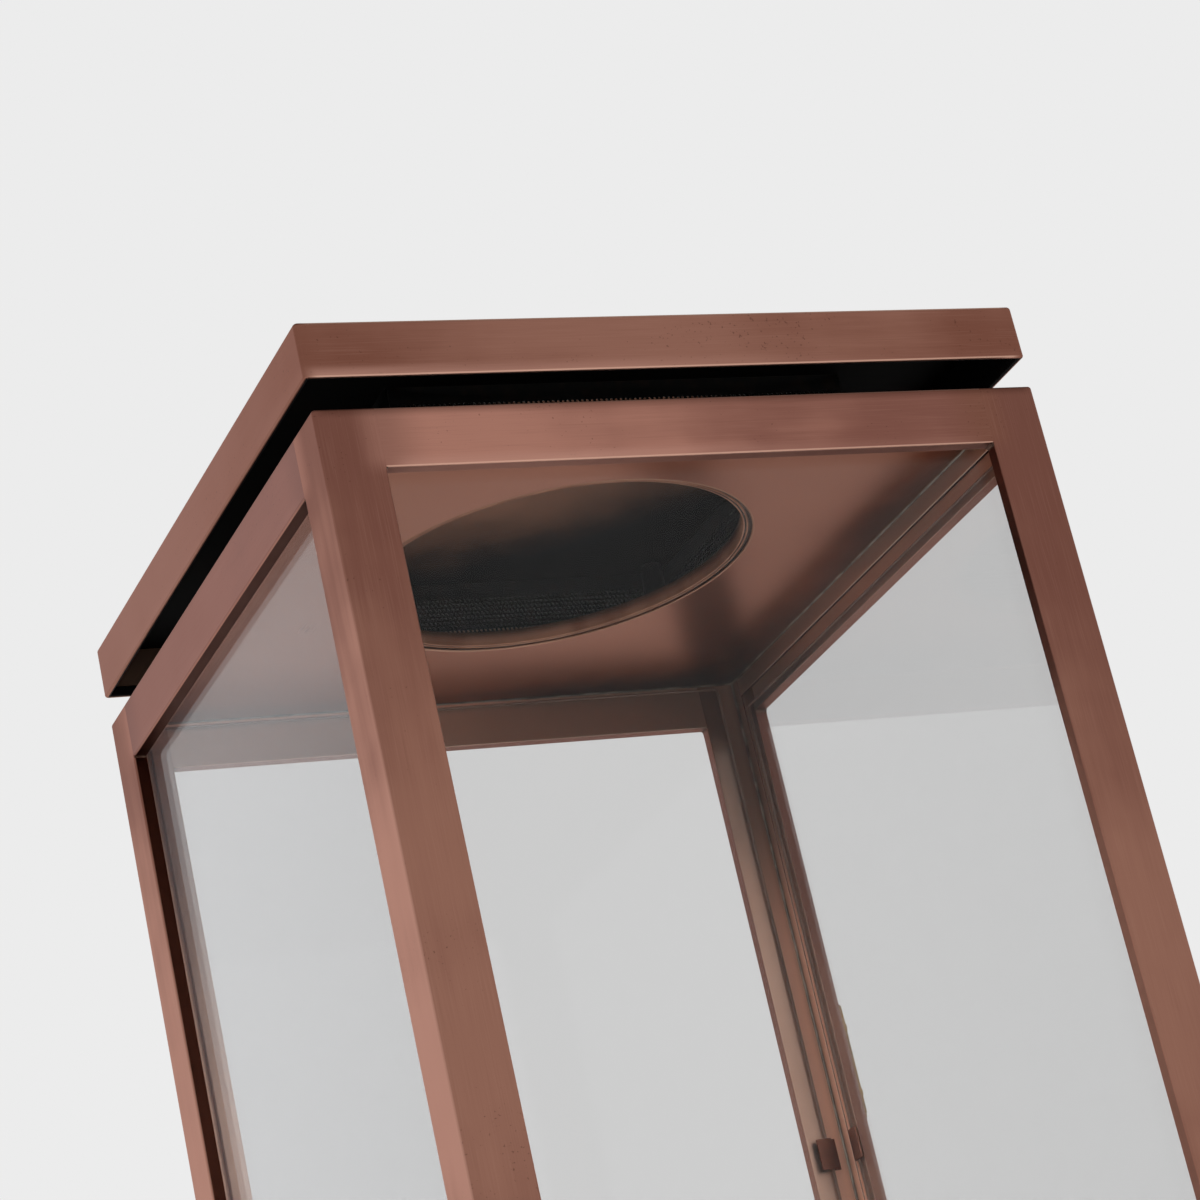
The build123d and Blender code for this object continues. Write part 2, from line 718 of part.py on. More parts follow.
# Door frame: two hollow stiles with a rail at each end between them
def door_stile(side):
    """Hollow upright of the door: side 1 is the hinge stile and -1 the latch stile."""
    middle = (side * (door_half - fixed_leg / 2), member_depth / 2 - half_width)
    with BuildPart() as piece:
        with BuildSketch(wall_plan("right", door_bottom)) as section:
            with Locations(middle):
                Rectangle(fixed_leg, member_depth)
            fillet(section.vertices().group_by(Axis.Y)[0], opening_radius)
            with Locations(middle):
                Rectangle(fixed_leg - 2 * section_wall, member_depth - 2 * section_wall, mode=Mode.SUBTRACT)
        extrude(amount=door_height)
        if side == 1:
            with Locations(*[Location(spot, (0, 90, 0)) for spot in hinge_screw_spots(-1)]):
                Cylinder(hinge_screw_radius + running_clearance, 2 * section_wall, mode=Mode.SUBTRACT)
        else:
            with Locations(Location((half_width, latch_y, latch_z), (0, 90, 0))):
                Cylinder(latch_spindle_radius + running_clearance, 4 * member_depth, mode=Mode.SUBTRACT)
    return piece


save(door_stile(1), "door_hinge_stile")
save(door_stile(-1), "door_latch_stile")
door_rail_length = 2 * (door_half - fixed_leg)
save(rail("right", door_rail_length, fixed_leg, door_top - fixed_leg, opening_radius), "door_top_rail")
save(rail("right", door_rail_length, fixed_leg, door_bottom, opening_radius), "door_bottom_rail")
save(glass_pane("right", door_pane_width, door_pane_bottom, door_pane_height), "door_glass_pane")
save(glass_clips("right", door_pane_width), "door_glass_clips")


# Hinges: surface leaves with knuckles about one pin, two knuckles on the frame and one on the door
def hinge_leaves(side, knuckle_spans):
    """Leaf of both hinges on one side: a plate, a tab to each of its knuckles, and the pin's bore."""
    with BuildPart() as piece:
        for level in hinge_levels:
            with BuildSketch(Plane.XY.offset(level - hinge_height / 2)):
                with Locations((half_width + hinge_sheet / 2, hinge_y + side * hinge_screw_place)):
                    Rectangle(hinge_sheet, hinge_leaf_end - hinge_leaf_start)
            extrude(amount=hinge_height)
            for low, high in knuckle_spans:
                with BuildSketch(Plane.XY.offset(level + low)):
                    with Locations((half_width + hinge_sheet / 2, hinge_y + side * hinge_leaf_start / 2)):
                        Rectangle(hinge_sheet, hinge_leaf_start)
                    with Locations((hinge_x, hinge_y)):
                        Circle(knuckle_radius)
                extrude(amount=high - low)
        with BuildSketch(Plane.XY.offset(door_bottom)):
            with Locations((hinge_x, hinge_y)):
                Circle(hinge_pin_radius + running_clearance)
        extrude(amount=door_height, mode=Mode.SUBTRACT)
        with Locations(*[Location(spot, (0, 90, 0)) for spot in hinge_screw_spots(side)]):
            Cylinder(hinge_screw_radius + running_clearance, 3 * hinge_sheet, mode=Mode.SUBTRACT)
    return piece


knuckle_third = hinge_height / 3
knuckle_inner = knuckle_third / 2
knuckle_outer = hinge_height / 2
frame_spans = (
    (-knuckle_outer, -knuckle_inner - knuckle_gap / 2),
    (knuckle_inner + knuckle_gap / 2, knuckle_outer),
)
door_spans = ((knuckle_gap / 2 - knuckle_inner, knuckle_inner - knuckle_gap / 2),)
save(hinge_leaves(1, frame_spans), "hinge_frame_leaves")
save(hinge_leaves(-1, door_spans), "hinge_door_leaves")

with BuildPart() as hinge_pins:
    for level in hinge_levels:
        with BuildSketch(Plane.XY.offset(level - knuckle_outer)):
            with Locations((hinge_x, hinge_y)):
                Circle(hinge_pin_radius)
        extrude(amount=hinge_height)
        for head_bottom in (level - knuckle_outer - pin_head, level + knuckle_outer):
            with BuildSketch(Plane.XY.offset(head_bottom)):
                with Locations((hinge_x, hinge_y)):
                    Circle(pin_head_radius)
            extrude(amount=pin_head)
save(hinge_pins, "hinge_pins")


def hinge_screws(side):
    """Screws of both leaves on one side, from the leaf through the member's outer wall."""
    shank_start = half_width - section_wall
    head_start = half_width + hinge_sheet
    with BuildPart() as piece:
        for x, y, z in hinge_screw_spots(side):
            with BuildSketch(Plane.YZ.offset(shank_start)):
                with Locations((y, z)):
                    Circle(hinge_screw_radius)
            extrude(amount=head_start - shank_start)
            with BuildSketch(Plane.YZ.offset(head_start)):
                with Locations((y, z)):
                    Circle(hinge_screw_head_radius)
            extrude(amount=hinge_screw_head)
    return piece


save(hinge_screws(1), "hinge_frame_screws")
save(hinge_screws(-1), "hinge_door_screws")

# Latch: a thumb turn outside, its spindle through the stile, and a tongue and nut inside
rose_face = half_width + seat_clearance
neck_face = rose_face + latch_rose
grip_face = neck_face + latch_neck
tongue_face = inner_half - seat_clearance
nut_face = tongue_face - latch_tongue
with BuildPart() as latch_thumb_turn:
    with BuildSketch(Plane.YZ.offset(nut_face - latch_nut)):
        with Locations((latch_y, latch_z)):
            Circle(latch_spindle_radius)
    extrude(amount=rose_face - nut_face + latch_nut)
    with BuildSketch(Plane.YZ.offset(rose_face)):
        with Locations((latch_y, latch_z)):
            Circle(latch_rose_radius)
    extrude(amount=latch_rose)
    with BuildSketch(Plane.YZ.offset(neck_face)):
        with Locations((latch_y, latch_z)):
            Circle(latch_neck_radius)
    extrude(amount=latch_neck)
    with BuildSketch(Plane.YZ.offset(grip_face)):
        with Locations((latch_y, latch_z)):
            SlotOverall(latch_grip_length, latch_grip_width, rotation=90)
    extrude(amount=latch_grip_depth)
    fillet(latch_thumb_turn.faces().sort_by(Axis.X)[-1].edges(), opening_radius)
save(latch_thumb_turn, "latch_thumb_turn")

tongue_half = door_edge_clear / 2 - seat_clearance
tongue_straight = inner_half - seat_clearance - abs(latch_y) - tongue_half
with BuildPart() as latch_tongue_plate:
    with BuildSketch(Plane.YZ.offset(nut_face)):
        with Locations((latch_y, latch_z), (latch_y, latch_z + tongue_straight)):
            Circle(tongue_half)
        with Locations((latch_y, latch_z + tongue_straight / 2)):
            Rectangle(2 * tongue_half, tongue_straight)
        with Locations((latch_y, latch_z)):
            Circle(latch_spindle_radius + running_clearance, mode=Mode.SUBTRACT)
    extrude(amount=latch_tongue)
save(latch_tongue_plate, "latch_tongue")

with BuildPart() as latch_nut_piece:
    with BuildSketch(Plane.YZ.offset(nut_face)):
        with Locations((latch_y, latch_z)):
            RegularPolygon(latch_nut_radius, 6)
            Circle(latch_spindle_radius + running_clearance, mode=Mode.SUBTRACT)
    extrude(amount=-latch_nut)
save(latch_nut_piece, "latch_nut")
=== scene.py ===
import math
from functools import partial
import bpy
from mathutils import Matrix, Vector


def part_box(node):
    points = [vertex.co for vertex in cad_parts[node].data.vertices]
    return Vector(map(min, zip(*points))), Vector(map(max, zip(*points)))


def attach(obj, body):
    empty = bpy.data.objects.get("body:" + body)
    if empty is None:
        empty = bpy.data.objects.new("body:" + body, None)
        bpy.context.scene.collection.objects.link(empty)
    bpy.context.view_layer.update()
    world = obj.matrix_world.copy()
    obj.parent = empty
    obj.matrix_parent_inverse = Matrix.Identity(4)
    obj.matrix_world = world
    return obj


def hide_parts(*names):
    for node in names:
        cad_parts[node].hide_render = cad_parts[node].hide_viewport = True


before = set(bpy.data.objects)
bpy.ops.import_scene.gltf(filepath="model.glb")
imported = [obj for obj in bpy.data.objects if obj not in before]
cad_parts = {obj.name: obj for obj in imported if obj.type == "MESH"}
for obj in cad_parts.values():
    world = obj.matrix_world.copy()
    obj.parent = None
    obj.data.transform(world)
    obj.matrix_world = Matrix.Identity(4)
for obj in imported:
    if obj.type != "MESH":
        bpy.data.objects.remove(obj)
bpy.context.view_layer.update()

from types import SimpleNamespace

import bmesh
import bpy
import numpy as np
from mathutils import Quaternion, Vector

scene = bpy.context.scene
MM = 0.001
# A place or length beyond the lamp, for an axis or an edge that doesn't count
FAR = 9.0

# Sizes read from the frame, in metres
POST_LOW, POST_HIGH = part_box("corner_post_front_left")
RAIL_LOW, RAIL_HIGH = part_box("top_rail_front")
HEADER_LOW, HEADER_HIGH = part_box("door_header")
STILE_LOW, STILE_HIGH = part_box("door_hinge_stile")
LID_LOW, LID_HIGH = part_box("lid_pan")
CEILING_LOW, CEILING_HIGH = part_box("ceiling_plate")
RING_LOW, RING_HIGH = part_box("flue_ring")
TUBE_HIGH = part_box("post_tube")[1]
BASE_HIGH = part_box("base_plate")[1]
FRAME_BOTTOM, FRAME_TOP = POST_LOW.z, POST_HIGH.z
HALF = -POST_LOW.x
MEMBER = RAIL_HIGH.z - RAIL_LOW.z
DEPTH = RAIL_HIGH.y - RAIL_LOW.y
INNER = HALF - DEPTH
LEG = HEADER_HIGH.z - HEADER_LOW.z
DOOR_BOTTOM, DOOR_TOP = STILE_LOW.z, STILE_HIGH.z
DOOR_HALF = STILE_HIGH.y
OPENING_HALF = HALF - MEMBER
PANE_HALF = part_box("glass_pane_rear")[1].x

# Roundings of the folded copper members
TOP_EDGE = 1.3 * MM
OPENING_EDGE = 0.9 * MM
INNER_EDGE = 0.45 * MM
OUTER_CORNER = 1.7 * MM
TIGHT_EDGE = 0.03 * MM

# Fits of the lid, flue ring, panes, vent screens, seams, screws and weld
LID_CORNER = 1.9 * MM
LID_EDGE = 1.5 * MM
LID_SHEET = 1.2 * MM
LID_HEM = 2.4 * MM
LID_HEM_HEIGHT = 5.0 * MM
FLUE_FLANGE = 9.1 * MM
FLUE_BEAD = 1.8 * MM
HOLE_RIM = 0.6 * MM
HOLE_INSET = 5.0 * MM
FLUE_SHEET = 0.8 * MM
PANE_GAP = 0.1 * MM
SCREEN_PITCH = 2.1 * MM
SCREEN_HOLE = 0.68 * MM
SCREEN_PLAIN = 6.0 * MM
SCREEN_SHEET = 0.6 * MM
EDGE_BLEND = 2.5 * MM
SEAM_START = 11.2 * MM
SCREW_HEAD = 4.6 * MM
SLOT_WIDTH, SLOT_DEPTH = 1.1 * MM, 1.2 * MM
TUBE_CORNER = 6.0 * MM
WELD_SIZE, WELD_RIPPLE = 4.2 * MM, 2.6 * MM

# Camera of the photograph: place from the middle of the frame's top, heading, tilt and roll in degrees
CAMERA_PLACE = Vector((-0.5985, -1.2670, -0.5492))
CAMERA_HEADING = 25.959
CAMERA_TILT = 20.651
CAMERA_ROLL = -13.055
CAMERA_LENS = 108.0

# Studio: half width of the floor, the soft light over the lamp, and where reflections find the room brighter
FLOOR_HALF = 40.0
LIGHT_HEIGHT, LIGHT_SIZE, LIGHT_POWER = 6.0, 5.0, 75.0
BRIGHT_SIDE, WINDOW = (0.44, -0.90, 0.0), (-0.40, 0.80, 0.45)


# Shapes

def ease(distance, radius):
    """How far a quarter round draws a side in at a distance from the end: the gap beside its circle."""
    radius = np.maximum(radius, 1e-9)
    inside = np.clip(radius - distance, 0, radius)
    return radius - np.sqrt(radius ** 2 - inside ** 2)


def outline(corners, radii, insets, steps=5):
    """Closed outlines of a right-angled polygon, listed counterclockwise, one for each row of insets.

    Side i leaves corner i and moves inwards by its inset. Each corner then becomes a quarter arc whose
    centre lies one radius in from both sides, and a hollow corner turns the arc the other way."""
    corners = np.asarray(corners, float)
    insets = np.asarray(insets, float)
    radii = np.broadcast_to(np.asarray(radii, float), insets.shape)
    along = np.roll(corners, -1, 0) - corners
    along = along / np.linalg.norm(along, axis=1, keepdims=True)
    leaving = np.stack([-along[:, 1], along[:, 0]], 1)
    arriving = np.roll(leaving, 1, 0)
    turn = np.sign(arriving[:, 0] * leaving[:, 1] - arriving[:, 1] * leaving[:, 0])
    drawn_in = np.roll(insets, 1, 1)
    moved = corners + drawn_in[..., None] * arriving + insets[..., None] * leaving
    radius = np.maximum(radii - turn * np.maximum(insets, drawn_in), 1e-6) * turn
    centre = moved + radius[..., None] * (arriving + leaving)
    swing = np.linspace(0, np.pi / 2, steps + 1)[:, None]
    normal = arriving[:, None] * np.cos(swing) + leaving[:, None] * np.sin(swing)
    points = centre[:, :, None] - radius[..., None, None] * normal
    return points.reshape(len(insets), -1, 2)


def carried(outlines, stations):
    """Grid of points: one outline in the first two axes at each station along the third."""
    level = np.broadcast_to(np.asarray(stations)[:, None, None], outlines.shape[:2] + (1,))
    return np.concatenate([outlines, level], 2)


def revolved(radius, height, count):
    """Grid of points: a profile of radii and heights carried round the Z axis in equal steps."""
    angle = np.linspace(0, 2 * np.pi, count, endpoint=False)
    ring = np.stack([np.cos(angle), np.sin(angle), np.zeros(count)], 1)
    return radius[:, None, None] * ring + np.stack([0 * height, 0 * height, height], 1)[:, None]


def skin(grid, looped=False):
    """Points and faces of a grid whose rows close on themselves: quads between rows, and a cap on each end,
    or a last row joined to the first."""
    rows, columns = grid.shape[:2]
    index = np.arange(rows * columns).reshape(rows, columns)
    upper = np.roll(index, -1, 0) if looped else index[1:]
    lower = index if looped else index[:-1]
    quads = np.stack([lower, np.roll(lower, -1, 1), np.roll(upper, -1, 1), upper], -1).reshape(-1, 4)
    faces = quads.tolist()
    if not looped:
        faces += [index[0, ::-1].tolist(), index[-1].tolist()]
    return grid.reshape(-1, 3), faces


def joined(parts):
    """Several point-and-face sets as one, with the faces renumbered."""
    starts = np.cumsum([0] + [len(points) for points, faces in parts])
    faces = [[i + start for i in face] for start, (points, own) in zip(starts, parts) for face in own]
    return np.concatenate([points for points, own in parts]), faces


def quarter_turned(points, quarters):
    """Points of the front wall turned about the lantern's axis to another wall."""
    sine, cosine = (0, 1, 0, -1)[quarters % 4], (1, 0, -1, 0)[quarters % 4]
    return points @ np.array([[cosine, sine, 0], [-sine, cosine, 0], [0, 0, 1]], float)


def piece(name, shape, body, material, slot, *nodes, crease=40):
    """One finished mesh: doubles merged, faces outwards, flat faces kept flat by area-weighted normals."""
    points, faces = shape
    mesh = bpy.data.meshes.new(name)
    mesh.from_pydata(points.tolist(), [], faces)
    work = bmesh.new()
    work.from_mesh(mesh)
    bmesh.ops.remove_doubles(work, verts=work.verts, dist=2e-6)
    bmesh.ops.dissolve_degenerate(work, edges=work.edges, dist=1e-6)
    bmesh.ops.recalc_face_normals(work, faces=work.faces)
    work.to_mesh(mesh)
    work.free()
    mesh.polygons.foreach_set("use_smooth", np.ones(len(mesh.polygons), bool))
    mesh.set_sharp_from_angle(angle=math.radians(crease))
    mesh.materials.append(material)
    made = bpy.data.objects.new(name, mesh)
    scene.collection.objects.link(made)
    weighted = made.modifiers.new("flat_faces", "WEIGHTED_NORMAL")
    weighted.keep_sharp = True
    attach(made, body)
    if nodes:
        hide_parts(*nodes)
    return made


def folded(node_name, shape, material, body="lamp"):
    """A folded copper member that takes the place of its node."""
    piece(f"folded_{node_name}", shape, body, material, "aged_copper", node_name)


def end_stations(low, high, radius):
    """Heights from one end of a bar to the other, close together where the ends are rounded."""
    near = radius * (1 - np.sin(np.linspace(0, np.pi / 2, 6)))[::-1]
    return np.concatenate([low + near, high - near[::-1]])


def bar(corners, radii, low, high, low_round, high_round):
    """Bar of an outline, with each side's own quarter round at its two ends."""
    reach = max(np.max(low_round), np.max(high_round), 1e-5)
    stations = end_stations(low, high, reach)
    insets = ease(stations[:, None] - low, low_round) + ease(high - stations[:, None], high_round)
    return carried(outline(corners, radii, insets), stations)


def angle_post(x_side, y_side, y_leg):
    """Angle post: its outline carried up the lantern, with the edges of the openings rounded only between the
    rails, where they are free, and the outer and inner sides rounded at the top."""
    inward = np.array([(0, 0), (MEMBER, 0), (MEMBER, DEPTH), (DEPTH, DEPTH), (DEPTH, y_leg), (0, y_leg)])
    corners = np.array([x_side, y_side]) * (HALF - inward)
    free = np.array([OUTER_CORNER, OPENING_EDGE, INNER_EDGE, INNER_EDGE, INNER_EDGE, OPENING_EDGE])
    held = np.array([OUTER_CORNER, TIGHT_EDGE, TIGHT_EDGE, INNER_EDGE, TIGHT_EDGE, TIGHT_EDGE])
    top = np.array([TOP_EDGE, 0, INNER_EDGE, INNER_EDGE, 0, TOP_EDGE])
    if x_side * y_side < 0:
        corners, free, held, top = corners[::-1], free[::-1], held[::-1], np.roll(top[::-1], -1)
    near = end_stations(FRAME_BOTTOM, FRAME_TOP, TOP_EDGE)
    blend = np.linspace(0, EDGE_BLEND, 5)
    stations = np.sort(np.concatenate([near, FRAME_BOTTOM + MEMBER + blend, FRAME_TOP - MEMBER - blend]))
    clear = np.minimum(stations - FRAME_BOTTOM, FRAME_TOP - stations) - MEMBER
    share = np.clip(clear / EDGE_BLEND, 0, 1)[:, None]
    radii = held + (free - held) * np.sqrt(share * (2 - share))
    insets = ease(FRAME_TOP - stations[:, None], top) + ease(stations[:, None] - FRAME_BOTTOM, 0.2 * top)
    return skin(carried(outline(corners, radii, insets), stations))


def level_rail(quarters, half_length, low, high, low_edge, high_edge):
    """Level member of a wall: a rectangle with rounded edges carried along the wall, its ends a hair's width
    eased, so that the soldered joint shows as a fine line."""
    corners = [(-HALF, low), (-INNER, low), (-INNER, high), (-HALF, high)]
    radii = [low_edge, INNER_EDGE, INNER_EDGE, high_edge]
    grid = bar(corners, radii, -half_length, half_length, np.full(4, TIGHT_EDGE), np.full(4, TIGHT_EDGE))
    points, faces = skin(grid)
    return quarter_turned(points[:, [2, 0, 1]], quarters), faces


def door_stile(side):
    """Upright of the door: a rectangle with rounded edges, its ends rounded where they stand free."""
    low, high = sorted((side * DOOR_HALF, side * (DOOR_HALF - LEG)))
    corners = [(INNER, low), (HALF, low), (HALF, high), (INNER, high)]
    radii = [INNER_EDGE, OPENING_EDGE, OPENING_EDGE, INNER_EDGE]
    ends = np.array([0.0, OPENING_EDGE, 0.0, INNER_EDGE])
    return skin(bar(corners, radii, DOOR_BOTTOM, DOOR_TOP, ends, ends))


def square(half):
    """Corners of a square about the axis, counterclockwise."""
    return [(-half, -half), (half, -half), (half, half), (-half, half)]


def hollow(reach):
    """Hollow quarter round of a reach, from one wall of a corner to the other: distances from both walls."""
    swing = np.linspace(0, np.pi / 2, 7)
    return np.stack([reach * (1 - np.sin(swing)), reach * (1 - np.cos(swing))], 1)


def lid_shape():
    """Lid: a profile of insets and heights carried round a rounded square, from the underside down the inner
    wall, round the hem, up the outer face, over the rounded edge and across the top."""
    low, high = LID_LOW.z, LID_HIGH.z
    swing = np.linspace(0, np.pi / 2, 7)
    hem = LID_HEM / 2
    over = LID_HEM - LID_SHEET
    inset = np.concatenate([
        [LID_SHEET, LID_SHEET, LID_SHEET + 0.3 * over, LID_HEM],
        hem + hem * np.cos(2 * swing),
        LID_EDGE * (1 - np.cos(swing)),
    ])
    height = np.concatenate([
        [high - LID_SHEET] + [low + LID_HEM_HEIGHT - drop * MM for drop in (0.0, 0.1, 0.8)],
        low + 0.8 * hem * (1 - np.sin(2 * swing)),
        high - LID_EDGE * (1 - np.sin(swing)),
    ])
    rings = outline(square(LID_HIGH.x), LID_CORNER, np.repeat(inset[:, None], 4, 1), steps=6)
    return skin(carried(rings, height))


def flue_ring_shape():
    """Flue ring: a closed profile carried round the axis. Its flange lies on the ceiling with two raised
    cosine beads under it, then a quarter round turns up into the lip."""
    outer, wall = RING_HIGH.x, RING_HIGH.x - FLUE_FLANGE
    seat, fold = CEILING_HIGH.z, 0.5 * MM
    under = np.linspace(outer, wall + fold, 110)
    bead = np.cos(np.clip((under - wall - FLUE_BEAD) / (0.6 * MM), -1, 1) * np.pi) * 0.5 + 0.5
    roll = np.cos(np.clip((under - wall - 0.4 * MM) / (0.5 * MM), -1, 1) * np.pi) * 0.35 + 0.35
    swing = np.linspace(0, np.pi / 2, 7)[1:]
    radius = np.concatenate([
        under, wall + fold * (1 - np.sin(swing)), [wall, wall + FLUE_SHEET, wall + FLUE_SHEET, outer],
    ])
    drop = np.maximum(bead, roll) * (seat - RING_LOW.z)
    height = np.concatenate([
        seat - drop, seat - drop[-1] + fold * (1 - np.cos(swing)),
        [RING_HIGH.z, RING_HIGH.z, seat + FLUE_SHEET, seat + FLUE_SHEET],
    ])
    return skin(revolved(radius, height, 180), looped=True)


def hole_rim():
    """Burnished edge of the ceiling's hole: a small circle carried round the axis, proud of the sheet."""
    swing = np.linspace(0, 2 * np.pi, 12, endpoint=False)
    hole = RING_HIGH.x - HOLE_INSET
    radius = hole + 0.35 * HOLE_RIM + HOLE_RIM * np.cos(swing)
    height = CEILING_LOW.z + 0.8 * HOLE_RIM + HOLE_RIM * np.sin(swing)
    return skin(revolved(radius, height, 180), looped=True)


def ceiling_seam(reach):
    """Solder seam between the ceiling and the walls: a hollow quarter round carried round the inside of the
    frame."""
    inset, drop = np.concatenate([[(-0.1 * MM, -0.1 * MM)], hollow(reach)]).T
    rings = outline(square(INNER), 0.3 * MM, np.repeat(inset[:, None], 4, 1))
    return skin(carried(rings, CEILING_LOW.z - drop), looped=True)


def corner_seam(x_side, y_side, reach):
    """Solder seam up an inside corner of the frame: a hollow quarter round carried up the corner."""
    shape = np.concatenate([[(-0.1 * MM, -0.1 * MM)], hollow(reach)])
    flat = np.array([x_side, y_side]) * (INNER - shape)
    stations = np.array([FRAME_BOTTOM + SEAM_START, CEILING_LOW.z])
    return skin(carried(np.repeat(flat[None], 2, 0), stations))


def screen_shape(node, quarters):
    """Perforated strip: a cell of eight quads between a square and an eight-sided hole, repeated in staggered
    rows, with plain bands above, below and at both ends. A Solidify modifier gives it its thickness."""
    low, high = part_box(node)
    half = (high.x, high.y)[quarters % 2]
    face = (-low.y, high.x, high.y, -low.x)[quarters]
    pitch = SCREEN_PITCH
    rows = int((high.z - low.z - SCREEN_PLAIN - pitch) / pitch)
    columns = int((2 * half - 3 * pitch) / pitch)
    step = np.arange(8) * np.pi / 4
    hole = np.stack([np.cos(step), np.sin(step)], 1)
    cell = np.concatenate([np.sign(np.round(hole, 6)) * pitch / 2, hole * SCREEN_HOLE])
    column, row = np.meshgrid(np.arange(columns), np.arange(rows))
    across = (column - (columns - 1) / 2 + 0.5 * (row % 2) - 0.25) * pitch
    up = low.z + pitch + (row + 0.5) * pitch
    centres = np.stack([across.ravel(), up.ravel()], 1)
    flat = (centres[:, None] + cell).reshape(-1, 2)
    i = np.arange(8)
    j = (i + 1) % 8
    quads = np.stack([i, j, j + 8, i + 8], 1)
    faces = (quads + 16 * np.arange(len(centres))[:, None, None]).reshape(-1, 4)
    floor = low.z + pitch + np.arange(rows) * pitch
    spans = [(-half, end, base, base + pitch) for end, base in zip(across[:, 0] - pitch / 2, floor)]
    spans += [(end, half, base, base + pitch) for end, base in zip(across[:, -1] + pitch / 2, floor)]
    spans += [(-half, half, low.z, low.z + pitch), (-half, half, floor[-1] + pitch, high.z)]
    bands = np.array([(x, z) for a, b, c, d in spans for x, z in ((a, c), (b, c), (b, d), (a, d))])
    faces = np.concatenate([faces, len(flat) + np.arange(len(bands)).reshape(-1, 4)])
    flat = np.concatenate([flat, bands])
    points = np.stack([flat[:, 0], np.full(len(flat), -face), flat[:, 1]], 1)
    return quarter_turned(points, quarters), faces.tolist()


def pane_shape(node, quarters):
    """Pane: a rectangle with small round corners carried through the thickness, its arrises ground to quarter
    rounds. It stands a hair's width off the frame, so that the copper behind it shows."""
    low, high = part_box(node)
    half = (high.x, high.y)[quarters % 2]
    outer = (-low.y, high.x, high.y, -low.x)[quarters]
    thick = (high.y - low.y, high.x - low.x)[quarters % 2]
    corners = [(-half, low.z), (half, low.z), (half, high.z), (-half, high.z)]
    ground = np.full(4, 0.5 * MM)
    grid = bar(corners, 1.2 * MM, PANE_GAP - outer, thick - PANE_GAP / 2 - outer, ground, ground)
    points, faces = skin(grid)
    return quarter_turned(points[:, [0, 2, 1]], quarters), faces


def solder_fillets(quarters, half, low, high, reaches):
    """Solder in the four corners of an opening: a triangle with a hollow quarter-round side, carried through
    the thickness of the frame and drawn in a little at both faces."""
    depths = np.array([0.25 * MM, 0.7 * MM, DEPTH - 0.7 * MM, DEPTH - 0.25 * MM]) - HALF
    draw = np.array([0.82, 1.0, 1.0, 0.82])[:, None]
    parts = []
    places = ((-1, high, -1), (1, high, -1), (-1, low, 1), (1, low, 1))
    for (x_side, edge, fall), reach in zip(places, reaches):
        shape = np.concatenate([[(-0.2 * MM, -0.2 * MM)], hollow(reach)])
        grid = np.stack([
            x_side * (half - shape[:, 0] * draw),
            np.broadcast_to(depths[:, None], (4, len(shape))),
            edge + fall * shape[:, 1] * draw,
        ], 2)
        parts.append(skin(grid))
    points, faces = joined(parts)
    return quarter_turned(points, quarters), faces


def slotted_heads(spots, height):
    """Domed screw heads with a slot: a polar grid whose height is a flattened dome, less a slot with steep
    sides. The last ring drops to the seat."""
    share = np.concatenate([np.linspace(0.02, 0.96, 22), [0.985, 1.0, 1.0]])
    angle = np.linspace(0, 2 * np.pi, 72, endpoint=False)
    x = SCREW_HEAD * share[:, None] * np.cos(angle)
    y = SCREW_HEAD * share[:, None] * np.sin(angle)
    dome = height * (0.45 + 0.55 * np.sqrt(np.clip(1 - share ** 2, 0, 1)))[:, None]
    edge = np.clip((SLOT_WIDTH / 2 - np.abs(y)) / (0.12 * SLOT_WIDTH) + 0.5, 0, 1)
    z = dome - edge * SLOT_DEPTH
    z[-1] = 0
    points, faces = skin(np.stack([x, y, np.maximum(z, 0)], 2))
    return joined([(points + np.array(spot), faces) for spot in spots])


def weld_bead():
    """Fillet weld round the post's foot: a bulging quarter round whose reach swells and shrinks in even
    ripples along the post's rounded square."""
    swing = np.linspace(0, np.pi / 2, 8)
    half, corner = TUBE_HIGH.x, TUBE_CORNER
    run = 2 * (half - corner)
    count = int(run / (0.9 * MM))
    side = np.linspace(-run / 2, run / 2, count, endpoint=False)
    arc = np.linspace(0, np.pi / 2, 12, endpoint=False)
    bend = np.stack([np.sin(arc), -np.cos(arc)], 1)
    straight = np.stack([side, np.full(count, -half)], 1)
    one = np.concatenate([straight, np.array([run, -run]) / 2 + corner * bend])
    out = np.concatenate([np.tile([0.0, -1.0], (count, 1)), bend])
    quarter = np.array([[0.0, 1.0], [-1.0, 0.0]])
    turns = [np.linalg.matrix_power(quarter, k) for k in range(4)]
    path = np.concatenate([one @ t for t in turns])
    normal = np.concatenate([out @ t for t in turns])
    length = np.concatenate([[0], np.cumsum(np.linalg.norm(np.diff(path, axis=0), axis=1))])
    whole = length[-1] + np.linalg.norm(path[0] - path[-1])
    ripples = np.round(whole / WELD_RIPPLE)
    way = 2 * np.pi * length / whole
    size = WELD_SIZE * (1 + 0.07 * np.cos(ripples * way) + 0.05 * np.sin(7 * way))
    bulge = 0.86 + 0.14 * np.sin(2 * swing)
    reach = size * (np.cos(swing) * bulge)[:, None]
    rise = size * (np.sin(swing) * bulge)[:, None]
    flat = path + normal * reach[..., None]
    top = np.concatenate([flat, (path - 0.3 * MM * normal)[None]])
    height = BASE_HIGH.z + np.concatenate([rise, np.zeros((1, len(path)))])
    return skin(np.concatenate([top, height[..., None]], 2), looped=True)


# Materials

